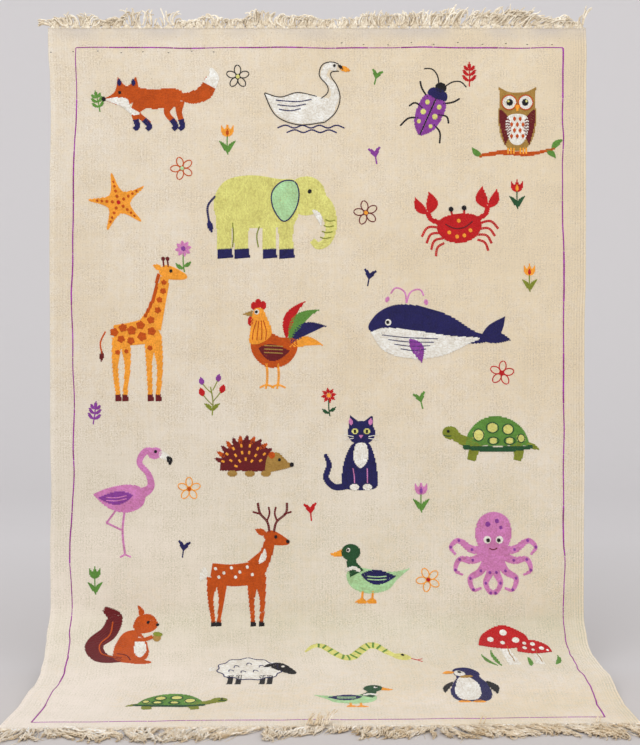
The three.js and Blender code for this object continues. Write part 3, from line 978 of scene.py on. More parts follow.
def giraffe(pen: Pen) -> None:
    """Works a giraffe that looks to the right."""
    legs = ((-50, -56, -50), (-34, -28, -34), (24, 22, 24), (38, 46, 42))
    solid = [band([(x, -8), (knee, -70), (foot, -138)], (26, 13, 10)) for x, knee, foot in legs]
    for _, knee, foot in legs:
        pen.fill(MAROON, band([(foot, -136), (foot + 1, -152)], (12, 14)), rows=90)
    body = band([(-58, 0), (-20, 2), (22, 10), (40, 18)], (44, 52, 58, 50))
    neck = band([(24, 20), (46, 74), (58, 132)], (54, 28, 21))
    head = [(46, 140), (52, 156), (70, 158), (104, 140), (108, 130), (96, 126), (66, 128)]
    pen.fill(ORANGE, body, neck, head, *solid, rows=80)
    pen.fill(ORANGE, leaf((52, 150), (30, 160), 12), rows=-20)
    for x in (56, 66):
        pen.line(MAROON, [(x, 154), (x - 2, 172)], 4, 0)
        pen.dot(MAROON, x - 2, 174, 4.4, 0)
    pen.fill(RUST, band([(12, 40), (32, 84), (44, 140)], (6, 8, 6)), rows=75, over=1)
    pen.line(RUST, [(-78, 8), (-90, -18), (-86, -44)], 4, 0)
    pen.fill(MAROON, leaf((-86, -38), (-88, -62), 10), rows=90)
    marks = (
        (-58, 6, 10), (-38, 16, 10), (-42, -10, 9), (-18, 10, 11), (-20, -14, 9), (2, 22, 10), (6, -4, 11),
        (28, 8, 10), (26, 34, 9), (42, 56, 8), (46, 80, 7), (54, 100, 7), (56, 120, 6), (24, -30, 6),
        (-50, -40, 6), (-30, -38, 5),
    )
    for number, (x, y, reach) in enumerate(marks):
        pen.fill(RUST, star(x, y, 5, reach, reach * 0.8, 31 * number), rows=60, over=1)
    pen.dot(BLACK, 72, 146, 3.4)


def starfish(pen: Pen) -> None:
    """Works a starfish."""
    pen.fill(ORANGE, star(0, 0, 5, 78, 30, 96), rows=15)
    for arm in range(5):
        angle = math.radians(96 + 72 * arm)
        for reach in (16, 30, 43, 55):
            pen.dot(RUST, reach * math.cos(angle), reach * math.sin(angle), 4.2 - reach * 0.03, 1)
    pen.dot(RED, 0, 0, 5, 1)


def beetle(pen: Pen) -> None:
    """Works a beetle, seen from above."""
    for s in (-1, 1):
        for foot, knee, tip in ((34, 50, 66), (2, 8, -8), (-26, -38, -66)):
            pen.line(BLACK, [(s * 22, foot), (s * 46, knee), (s * 58, tip)], 4.2, 0)
        feeler = [(s * 7, 76), (s * 22, 98), (s * 42, 108), (s * 62, 100)]
        pen.line(BLACK, feeler, 3.2, 0)
    pen.fill(BLACK, oval(0, 72, 15, 13))
    pen.fill(NAVY, [(-26, 44), (-22, 62), (0, 68), (22, 62), (26, 44), (0, 38)])
    for s in (-1, 1):
        case = [
            (s * 1.5, 40), (s * 1.5, 40), (s * 28, 40), (s * 36, 8), (s * 28, -40), (s * 1.5, -70),
            (s * 1.5, -70),
        ]
        pen.fill(PURPLE, case, rows=90 - s * 12)
        for y, reach in ((22, 6), (-6, 7), (-34, 5)):
            pen.dot(LIME, s * 17, y, reach, 1)
    pen.line(BLACK, [(0, 42), (0, -14), (0, -68)], 3)


def squirrel(pen: Pen) -> None:
    """Works a squirrel that holds an acorn."""
    brush = band([(20, -74), (66, -66), (84, -18), (52, 22), (44, 62), (70, 84)], (20, 40, 44, 42, 38, 12))
    pen.fill(MAROON, brush, rows=70)
    pen.line(RUST, [(34, -66), (66, -50), (70, -14), (48, 16), (46, 52)], 3.4)
    body = [(-24, -84), (-44, -50), (-36, -4), (-14, 28), (18, 18), (36, -26), (36, -70), (14, -86)]
    ear = leaf((-22, 62), (-12, 92), 14, 2)
    pen.fill(RUST, body, [(-62, 44), (-44, 70), (-14, 66), (-4, 40), (-20, 20), (-48, 24)], ear, rows=80)
    pen.fill(CREAM, [(-30, 0), (-38, -40), (-22, -66), (-10, -40), (-14, 4)], rows=85, over=1)
    pen.fill(RUST, band([(-4, 2), (-30, -2), (-52, 8)], (15, 11, 9)), over=2)
    pen.fill(RUST, oval(-24, -84, 26, 8))
    pen.line(MAROON, [(-2, -78), (10, -56), (30, -50)], 3)
    pen.fill(OCHRE, oval(-62, 6, 9, 13, 10), rows=90, over=1)
    pen.fill(OLIVE, oval(-64, 16, 11, 6, 10), over=2)
    pen.dot(BLACK, -38, 50, 3.6)
    pen.dot(BLACK, -61, 43, 3.4)


def swan(pen: Pen) -> None:
    """Works a swan that swims to the left."""
    body = [
        (-66, -18), (-40, -46), (30, -52), (84, -30), (116, 26), (116, 26), (76, 14), (30, 26), (-24, 18),
        (-56, 8),
    ]
    neck = band(
        [(-44, -14), (-66, 14), (-60, 46), (-38, 70), (-48, 96), (-72, 94)], (34, 22, 16, 15, 17, 20)
    )
    pen.fill(CREAM, body, neck, rows=10)
    pen.line(BLACK, [(-30, 12), (-48, 28), (-46, 48), (-26, 72), (-34, 100), (-58, 108), (-78, 102)], 2.2)
    pen.line(BLACK, [(-78, 84), (-58, 82), (-56, 70), (-72, 46), (-80, 12), (-68, -24), (-40, -50)], 2.2)
    pen.line(
        BLACK, [(-40, -50), (30, -56), (88, -32), (118, 28), (118, 28), (76, 16), (30, 28), (-20, 18)], 2.2
    )
    for k in range(3):
        path = [(-6 + 14 * k, 10 - 12 * k), (34 + 8 * k, 4 - 12 * k), (88 - 4 * k, 8 - 12 * k)]
        pen.line(NAVY, path, 2.6)
    pen.fill(ORANGE, leaf((-78, 94), (-108, 84), 13), rows=15, over=1)
    pen.fill(BLACK, leaf((-76, 100), (-88, 88), 7), rows=45, over=2)
    pen.dot(BLACK, -66, 98, 3)
    for k in range(2):
        wave = [(-92 + 20 * k + 22 * n, -62 - 12 * k + (5 if n % 2 else -3)) for n in range(9 - 2 * k)]
        pen.line(NAVY, wave, 3.4, 0)


def duck(pen: Pen) -> None:
    """Works a duck that walks to the right."""
    for x in (-6, 18):
        pen.line(ORANGE, [(x, -36), (x + 2, -58)], 5, 0)
        pen.fill(ORANGE, [(x - 6, -58), (x + 4, -54), (x + 20, -64), (x + 20, -64), (x - 6, -66)])
    body = [
        (-92, 16), (-92, 16), (-62, -10), (-40, -34), (6, -42), (44, -28), (56, 2), (36, 18), (-6, 12),
        (-52, 8),
    ]
    pen.fill(MINT, body, rows=10)
    pen.fill(PINE, band([(32, 4), (44, 28), (42, 50)], (34, 22, 20)), oval(46, 54, 22, 19), rows=80, over=1)
    pen.fill(CREAM, band([(24, 10), (40, 17), (58, 12)], (7, 8, 7)), rows=10, over=2)
    pen.fill(ORANGE, [(64, 62), (64, 62), (82, 54), (94, 50), (82, 44), (62, 46), (62, 46)])
    pen.fill(NAVY, leaf((22, 2), (-60, -2), 34, 5), rows=4, over=1)
    for y in (-9, -2):
        pen.line(MINT, [(8, y), (-16, y - 2), (-38, y)], 2.6, 2)
    pen.dot(CREAM, 52, 59, 4.4)
    pen.dot(BLACK, 53, 59, 2.6, 3)


def octopus(pen: Pen) -> None:
    """Works an octopus with curling arms."""
    arms = (
        [(-18, 6), (-52, 4), (-84, 26), (-104, 10), (-92, -8)],
        [(-16, -6), (-50, -22), (-82, -20), (-92, -46), (-74, -58)],
        [(-10, -10), (-30, -48), (-56, -66), (-48, -94), (-28, -90)],
        [(-3, -10), (-8, -52), (-18, -78), (-6, -102), (8, -94)],
    )
    for path in arms:
        for s in (-1, 1):
            shape = band([(s * -x, y) for x, y in path], (22, 18, 13, 9, 5))
            pen.fill(MAUVE, shape, rows=s * 20)
            for x, y in path[1:4]:
                pen.dot(PURPLE, s * -x, y, 3, 1)
    head = [(-30, 4), (-44, 40), (-34, 80), (0, 96), (34, 80), (44, 40), (30, 4), (0, -14)]
    pen.fill(MAUVE, head, rows=90, over=1)
    for s in (-1, 1):
        pen.dot(CREAM, s * 15, 28, 9)
        pen.dot(BLACK, s * 13, 27, 4.4, 3)
    pen.line(MAROON, [(-10, 8), (0, 3), (10, 8)], 2.8, 2)
    for x, y, reach in ((-14, 66, 6), (8, 74, 5), (18, 58, 4)):
        pen.dot(PURPLE, x, y, reach, 2)


def snake(pen: Pen) -> None:
    """Works a snake that winds to the right."""
    middle = [(-120 + 20 * n, 22 * math.sin(n * 1.05)) for n in range(11)]
    widths = (4, 10, 15, 18, 19, 19, 19, 19, 18, 15, 13)
    pen.fill(LIME, band(middle, widths), oval(88, -18, 20, 12, -12))
    path = spline(middle, closed=False, steps=5)
    way = unit(np.gradient(path, axis=0))
    for n in range(8, len(path) - 4, 3):
        (x, y), (u, v) = (path[n], way[n])
        reach = np.interp(n / len(path) * 10, range(11), widths) / 2
        pen.line(GREEN, [(x - v * reach, y + u * reach), (x + v * reach, y - u * reach)], 4.6, 1)
    pen.line(RED, [(106, -24), (122, -30)], 2.8, 0)
    pen.line(RED, [(120, -29), (132, -24)], 2.4, 0)
    pen.line(RED, [(120, -29), (130, -37)], 2.4, 0)
    pen.dot(BLACK, 92, -13, 3)


def sheep(pen: Pen) -> None:
    """Works a sheep that grazes to the left."""
    for x in (-34, -18, 34, 52):
        pen.fill(BLACK, band([(x, -20), (x - 1, -46), (x, -64)], (13, 11, 11)), rows=90)
    fleece = star(8, 6, 11, 62, 55, 90) * (1.18, 0.8)
    pen.fill(CREAM, fleece, oval(-46, 20, 24, 20))
    pen.line(NAVY, fleece[::5], 2.4, 1, closed=True)
    for x, y in ((-20, 18), (8, 26), (36, 16), (-4, -4), (24, -8), (50, -2)):
        pen.line(NAVY, [(x - 7, y), (x - 3, y + 7), (x + 5, y + 5), (x + 4, y - 3)], 2.2)
    pen.fill(
        BLACK,
        [(-48, 34), (-70, 30), (-90, 4), (-92, -10), (-80, -14), (-58, 0), (-42, 16)],
        rows=45,
        over=1,
    )
    pen.fill(BLACK, leaf((-48, 26), (-26, 16), 11, 2), rows=-20, over=2)
    pen.dot(CREAM, -68, 17, 3.4)
    pen.fill(CREAM, leaf((82, 16), (98, 0), 13), rows=-40)


def penguin(pen: Pen) -> None:
    """Works a penguin that looks to the right."""
    for x in (-16, 16):
        pen.fill(ORANGE, [(x - 12, -94), (x - 4, -84), (x + 8, -84), (x + 16, -94), (x + 2, -97)])
    coat = [
        (-34, -84), (-46, -44), (-40, 10), (-26, 44), (-26, 74), (-6, 92), (20, 88), (32, 68), (28, 44),
        (40, 8),
    ]
    pen.fill(NAVY, [*coat, (44, -44), (32, -84), (0, -92)], rows=90)
    pen.fill(
        CREAM,
        [(0, 44), (-18, 10), (-22, -44), (-8, -80), (22, -80), (34, -44), (32, 6), (22, 44)],
        rows=90,
        over=1,
    )
    pen.fill(CREAM, oval(18, 64, 12, 13), rows=90, over=1)
    pen.fill(OCHRE, oval(6, 47, 15, 6, -8), over=2)
    pen.fill(ORANGE, leaf((28, 70), (58, 62), 11, 2), rows=-10, over=1)
    pen.fill(BLACK, leaf((-38, 26), (-58, -44), 20, -6), rows=80, over=1)
    pen.fill(BLACK, leaf((38, 24), (56, -40), 15, 6), rows=100)
    pen.dot(BLACK, 17, 69, 4.2)


def mushrooms(pen: Pen) -> None:
    """Works a pair of mushrooms in the grass."""
    for x, y, size, lean in ((-26, 0, 1.0, -3), (36, -18, 0.66, 4)):
        stem = band(
            [(x + lean, y + 18 * size), (x, y - 22 * size), (x - lean, y - 62 * size)],
            (20 * size, 22 * size, 28 * size),
        )
        pen.fill(CREAM, stem, rows=90)
        pen.line(OCHRE, [(x + 5 * size, y + 8 * size), (x + 5 * size, y - 50 * size)], 2.2)
        cap = [(-58, 8), (-58, 8), (-46, 42), (0, 66), (46, 42), (58, 8), (58, 8), (0, -2)]
        pen.fill(RED, [(x + u * size, y + v * size) for u, v in cap], bow=-12 * size, over=1)
        for u, v, reach in ((-30, 26, 7), (0, 46, 8), (26, 24, 8), (-4, 16, 5), (44, 14, 4)):
            pen.dot(CREAM, x + u * size, y + v * size, reach * size)
    for start, tip, bow in (
        ((-62, -66), (-84, -20), 6),
        ((-54, -68), (-60, -6), 3),
        ((8, -68), (14, -30), -3),
        ((64, -62), (82, -24), -5),
    ):
        pen.fill(GREEN, leaf(start, tip, 9, bow), rows=80)


@dataclass(frozen=True)
class Sprig:
    """A small plant in up to three yarns, worked between the large motifs."""

    stem: Yarn
    bloom: Yarn
    heart: Yarn

    def bare(self, pen: Pen) -> None:
        """Works a bare sprig with paired leaves."""
        pen.line(self.stem, [(0, -28), (1, 0), (0, 22)], 3, 0)
        for y, reach in ((-14, 18), (0, 17), (13, 14)):
            for s in (-1, 1):
                pen.fill(self.bloom, leaf((0, y), (s * reach, y + reach), 7.5, -s * 2), rows=90 - s * 45)
        pen.fill(self.bloom, leaf((0, 16), (0, 34), 8), rows=90)

    def tulip(self, pen: Pen) -> None:
        """Works a tulip with two leaves."""
        pen.line(self.stem, [(2, -38), (0, -14), (0, 8)], 3, 0)
        for s in (-1, 1):
            pen.fill(self.stem, leaf((1, -34), (s * 19, -6), 9, s * 3), rows=90 - s * 30)
        cup = [
            (-14, 30), (-14, 30), (-6, 20), (0, 33), (0, 33), (6, 20), (14, 30), (14, 30), (12, 10), (0, 3),
            (-12, 10),
        ]
        pen.fill(self.bloom, cup, rows=90)
        pen.fill(self.heart, leaf((0, 5), (0, 20), 6), rows=90, over=1)

    def open_flower(self, pen: Pen) -> None:
        """Works a flower of five outlined petals."""
        for n in range(5):
            way = 90 + 72 * n
            x, y = (15 * math.cos(math.radians(way)), 15 * math.sin(math.radians(way)))
            outline = oval(x, y, 11.5, 7.5, way, steps=9)
            pen.line(self.bloom, outline, 2.6, 0, closed=True)
        pen.dot(self.heart, 0, 0, 4, 1)

    def daisy(self, pen: Pen) -> None:
        """Works a daisy with eight petals on a stem."""
        pen.line(self.stem, [(3, -42), (0, -20), (0, 4)], 3, 0)
        pen.fill(self.stem, leaf((1, -34), (-18, -20), 8, 2), rows=140)
        pen.fill(self.stem, leaf((1, -28), (19, -16), 8, -2), rows=40)
        for n in range(8):
            way = math.radians(45 * n + 10)
            u, v = (math.cos(way), math.sin(way))
            pen.fill(
                self.bloom, leaf((5 * u, 14 + 5 * v), (20 * u, 14 + 20 * v), 8), rows=math.degrees(way)
            )
        pen.dot(self.heart, 0, 14, 5.2, 1)

    def fork(self, pen: Pen) -> None:
        """Works a forked sprig with two thick leaves."""
        pen.line(self.stem, [(0, -24), (0, -2)], 3.4, 0)
        for s in (-1, 1):
            pen.fill(self.bloom, leaf((0, -6), (s * 17, 20), 9, s * 3), rows=90 - s * 40)

    def buds(self, pen: Pen) -> None:
        """Works a branch with buds of two yarns."""
        pen.line(self.stem, [(0, -46), (2, -10), (-4, 26)], 3, 0)
        for x, y, reach, lean in (
            (-22, 6, 1, -1), (22, 14, 1, 1), (-24, 34, 0.9, -0.6), (14, 42, 0.9, 0.5)
        ):
            pen.line(self.stem, [(1, y - 26), (x * 0.6, y - 12), (x, y)], 2.4, 0)
            yarn = self.bloom if y < 30 else self.heart
            pen.fill(yarn, leaf((x, y - 4), (x + 8 * lean, y + 18 * reach), 14 * reach), rows=90)
        for s in (-1, 1):
            pen.fill(self.stem, leaf((0, -34), (s * 20, -16), 9, s * 2), rows=90 - s * 50)


class Plants:
    """The small plants in their yarns."""

    GRASS = Sprig(GREEN, GREEN, GREEN)
    VIOLET = Sprig(PURPLE, PURPLE, PURPLE)
    CORAL = Sprig(RED, RED, RED)
    POPPY = Sprig(PINE, RED, ORANGE)
    MARIGOLD = Sprig(GREEN, ORANGE, RUST)
    CLOVER = Sprig(GREEN, MAUVE, PURPLE)
    DUSK = Sprig(NAVY, NAVY, MAUVE)
    WINE = Sprig(MAROON, MAROON, ORANGE)
    CLAY = Sprig(RUST, RUST, MINT)
    INK = Sprig(BLACK, BLACK, LIME)
    GOLD = Sprig(OLIVE, ORANGE, RED)
    BERRY = Sprig(OLIVE, RED, PURPLE)


@dataclass(frozen=True)
class Spot:
    """One motif's place on the cloth, in millimetres, with its size, its turn and whether it is flipped."""

    draw: Callable[[Pen], None]
    side: float
    down: float
    size: float = 1
    turn: float = 0
    flip: bool = False

LARGE_MOTIFS = (
    Spot(fox, -360, 168, 0.92),
    Spot(swan, -20, 170, 0.86, flip=True),
    Spot(beetle, 250, 190, 0.84, turn=-24),
    Spot(owl, 446, 214, 0.92),
    Spot(starfish, -446, 392, 0.86, turn=8),
    Spot(elephant, -110, 424, 1.0, flip=True),
    Spot(crab, 318, 452, 0.92, turn=6),
    Spot(giraffe, -398, 690, 0.98),
    Spot(cockerel, -96, 716, 0.98, flip=True),
    Spot(whale, 262, 690, 1.04, turn=-4),
    Spot(cat, 96, 960, 0.86),
    Spot(tortoise, 400, 926, 0.92),
    Spot(hedgehog, -146, 962, 0.86, flip=True),
    Spot(flamingo, -430, 1060, 0.98, flip=True),
    Spot(octopus, 396, 1176, 0.92),
    Spot(stag, -172, 1236, 0.94),
    Spot(duck, 120, 1230, 0.96, flip=True),
    Spot(squirrel, -414, 1384, 0.94, flip=True),
    Spot(snake, 90, 1424, 1.0),
    Spot(mushrooms, 440, 1410, 1.0),
    Spot(sheep, -150, 1500, 0.96, flip=True),
    Spot(penguin, 300, 1570, 0.92, flip=True),
    Spot(tortoise, -300, 1660, 0.84, flip=True),
    Spot(duck, 60, 1630, 0.86),
)

SMALL_MOTIFS = (
    Spot(Plants.INK.open_flower, -180, 110),
    Spot(Plants.GRASS.fork, 130, 110, 0.8, turn=-14),
    Spot(Plants.CORAL.bare, 338, 108, 0.9),
    Spot(Plants.GRASS.bare, -494, 168, 0.8, turn=12),
    Spot(Plants.MARIGOLD.tulip, -204, 248, 1.0),
    Spot(Plants.VIOLET.fork, 128, 286, 0.9, turn=10),
    Spot(Plants.CLAY.open_flower, -304, 316, 1.0, turn=20),
    Spot(Plants.POPPY.tulip, 446, 372, 0.95),
    Spot(Plants.WINE.open_flower, 108, 416, 1.05, turn=12),
    Spot(Plants.CLOVER.daisy, -300, 510, 0.95),
    Spot(Plants.GOLD.tulip, 474, 560, 0.9),
    Spot(Plants.DUSK.fork, 116, 560, 0.9, turn=-10),
    Spot(Plants.CORAL.open_flower, 414, 776, 1.05, turn=-8),
    Spot(Plants.BERRY.buds, -236, 830, 0.9),
    Spot(Plants.VIOLET.bare, -500, 868, 0.85, turn=-8),
    Spot(Plants.POPPY.daisy, 26, 838, 0.85),
    Spot(Plants.GRASS.fork, 232, 836, 0.9, turn=14),
    Spot(Plants.MARIGOLD.open_flower, -290, 1036, 1.0),
    Spot(Plants.CLOVER.tulip, 232, 1052, 1.0),
    Spot(Plants.CORAL.fork, -16, 1086, 0.95, turn=6),
    Spot(Plants.GOLD.open_flower, 250, 1240, 1.05, turn=24),
    Spot(Plants.DUSK.fork, -300, 1170, 0.9, turn=-8),
    Spot(Plants.GRASS.tulip, -500, 1240, 0.9),
)


@dataclass(frozen=True)
class Value:
    """A number, place or colour in a node tree. Each sum that is made with it adds a node."""

    sketch: NodeSketch
    socket: bpy.types.NodeSocket

    def beside(self, output: str | int) -> Value:
        """Returns another output of the same node."""
        return Value(self.sketch, self.socket.node.outputs[output])

    def reckon(self, operation: str, *others: Value | float) -> Value:
        """Returns the result of a sum of some kind that starts with this number."""
        return self.sketch.add("Math", feeds=dict(enumerate((self, *others))), operation=operation)

    __add__ = partialmethod(reckon, "ADD")
    __sub__ = partialmethod(reckon, "SUBTRACT")
    __mul__ = partialmethod(reckon, "MULTIPLY")
    __truediv__ = partialmethod(reckon, "DIVIDE")
    __pow__ = partialmethod(reckon, "POWER")
    __abs__ = partialmethod(reckon, "ABSOLUTE")

    def __rsub__(self, other: float) -> Value:
        """Returns the difference from a plain number."""
        return self.sketch.add("Math", feeds={0: other, 1: self}, operation="SUBTRACT")

    def humps(self, pace: float, kind: str = "SINE") -> Value:
        """Returns a row of humps, from 0 up to 1, with the pace in radians."""
        return abs((self * pace).reckon(kind))

    def ramp(self, low: float, high: float, first: float, last: float) -> Value:
        """Returns the number mapped from the range low to high to the range first to last."""
        return self.sketch.add("MapRange", feeds=dict(enumerate((self, low, high, first, last))))

    def slopes(self, rows: Rows) -> Value:
        """Reads a table that gives an amount for each place, straight from row to row.

        Args:
            rows: The table, in rising order.

        Returns:
            The amount at this place.
        """
        legs = zip(rows, rows[1:])
        total, *steps = (self.ramp(low, high, 0.0, last - first) for (low, first), (high, last) in legs)
        total += rows[0][1]
        for step in steps:
            total += step
        return total


@dataclass(frozen=True)
class NodeSketch:
    """Adds nodes to a tree and joins them, in few words."""

    tree: bpy.types.NodeTree

    def feed(self, node: bpy.types.Node, feeds: Feeds) -> None:
        """Gives a node its inputs.

        Args:
            node: The node.
            feeds: A value of the tree or a plain one for each input, by its name or number.
        """
        for key, value in feeds.items():
            if isinstance(value, Value):
                self.tree.links.new(value.socket, node.inputs[key])
            else:
                node.inputs[key].default_value = value

    def add(
        self, kind: str, output: str | int = 0, feeds: Feeds | None = None, **settings: object
    ) -> Value:
        """Adds a node.

        Args:
            kind: Its type, without the leading ShaderNode where it has one.
            output: The name or number of the output that is wanted.
            feeds: Its inputs.
            settings: Its properties.

        Returns:
            The output.
        """
        node = self.tree.nodes.new(kind if kind.startswith("NodeGroup") else f"ShaderNode{kind}")
        for key, value in settings.items():
            setattr(node, key, value)
        self.feed(node, feeds or {})
        return Value(self, node.outputs[output])

    def mix(self, share: Value, first: object, second: object, clamp: bool = True) -> Value:
        """Adds a mixture of two colours, with a share of the second that may be kept from 0 to 1."""
        return self.add("Mix", 2, {0: share, 6: first, 7: second}, data_type="RGBA", clamp_factor=clamp)

    def noise(self, place: Value, scale: float, detail: float) -> Value:
        """Adds soft noise at a place, as fine as its scale, with a number of finer layers."""
        return self.add("TexNoise", feeds={"Vector": place, "Scale": scale, "Detail": detail})

    def bump(self, height: Value, distance: float, strength: float = 1.0) -> Value:
        """Adds the normals of a surface that is raised by a height times a distance."""
        return self.add("Bump", feeds={"Height": height, "Distance": distance, "Strength": strength})


def new_material(name: str) -> tuple[bpy.types.Material, NodeSketch, bpy.types.Node]:
    """Starts a material.

    Args:
        name: Its name.

    Returns:
        The material, the sketch of its tree and its shader.
    """
    made = bpy.data.materials.new(name)
    made.use_nodes = True
    return made, NodeSketch(made.node_tree), made.node_tree.nodes["Principled BSDF"]


@cache
def twisted_thread_group() -> bpy.types.NodeTree:
    """Builds the shared look of a twisted thread: its plies, its fibres, its uneven dye and painted shade.

    Returns:
        The group, with a shade around 1 and a height.
    """
    tree = bpy.data.node_groups.new("twisted_thread", "ShaderNodeTree")
    for name, kind in (("Thread", "Vector"), ("Lay", "Float"), ("Tint", "Float"), ("Unevenness", "Float")):
        tree.interface.new_socket(name, in_out="INPUT", socket_type=f"NodeSocket{kind}")
    for name in ("Shade", "Height"):
        tree.interface.new_socket(name, in_out="OUTPUT", socket_type="NodeSocketFloat")
    sketch = NodeSketch(tree)
    thread = sketch.add("NodeGroupInput", "Thread")
    body = sketch.add("TexCoord", "Object")
    along = sketch.add("SeparateXYZ", feeds={0: thread})
    ply = (along / thread.beside("Lay") + along.beside(1) * 0.42).humps(2 * math.pi)
    mottle = sketch.noise(body, 260, 2).ramp(0.25, 0.75, -0.5, 0.5)
    cloud = sketch.noise(body, 34, 1).ramp(0.3, 0.7, -0.35, 0.35)
    # Uneven dye from the mottle, the cloud and the tint, which on the fringes also holds painted shade;
    # painted shade in the hollows between the plies and painted light on their crests.
    swing = mottle + (thread.beside("Tint") - 0.5) + cloud + (ply - 0.65) * 0.5
    shade = swing * thread.beside("Unevenness") + 1.0
    height = ply + sketch.noise(thread, 900, 1) * 0.7
    sketch.feed(tree.nodes.new("NodeGroupOutput"), {"Shade": shade, "Height": height})
    return tree


@dataclass(frozen=True)
class ThreadFinish:
    """A finish of twisted thread, for the stitches and for the fringes.

    The thread's own map holds the distance along it in metres and the place round it.
    """

    name: str
    colour: Colour
    lay: float
    unevenness: float
    relief: float = 0.35 * MM
    warmth: tuple[float, float, float] = (0.8, 1.0, 1.3)  # how fast red, green and blue fade in painted shade and darker dye

    def material(self) -> bpy.types.Material:
        """Makes the material."""
        made, sketch, shader = new_material(self.name)
        feeds = {
            "Thread": sketch.add("UVMap", uv_map="thread"),
            "Lay": self.lay,
            "Tint": sketch.add("Attribute", "Fac", attribute_name="tint"),
            "Unevenness": self.unevenness,
        }
        shade = sketch.add("Group", "Shade", node_tree=twisted_thread_group())
        sketch.feed(shade.socket.node, feeds)
        dyed = [shade**warmth * amount for amount, warmth in zip(linear(self.colour), self.warmth)]
        feeds = {
            "Base Color": sketch.add("CombineColor", feeds=dict(enumerate(dyed))),
            "Roughness": 0.92,
            "Sheen Weight": 0.16,
            "Sheen Roughness": 0.5,
            "Specular IOR Level": 0.2,
            "Normal": sketch.bump(shade.beside("Height"), self.relief),
        }
        sketch.feed(shader, feeds)
        return made


@dataclass(frozen=True)
class Selvedge:
    """The ribs of thicker warp along the cloth's side edges."""

    count: int = 8
    pitch: float = 5.85 * MM
    heights: Point = (0.15 * MM, 0.85 * MM)  # at the left edge and at the right

    @property
    def reach(self) -> float:
        """Returns how far the ribs reach inwards."""
        return self.count * self.pitch


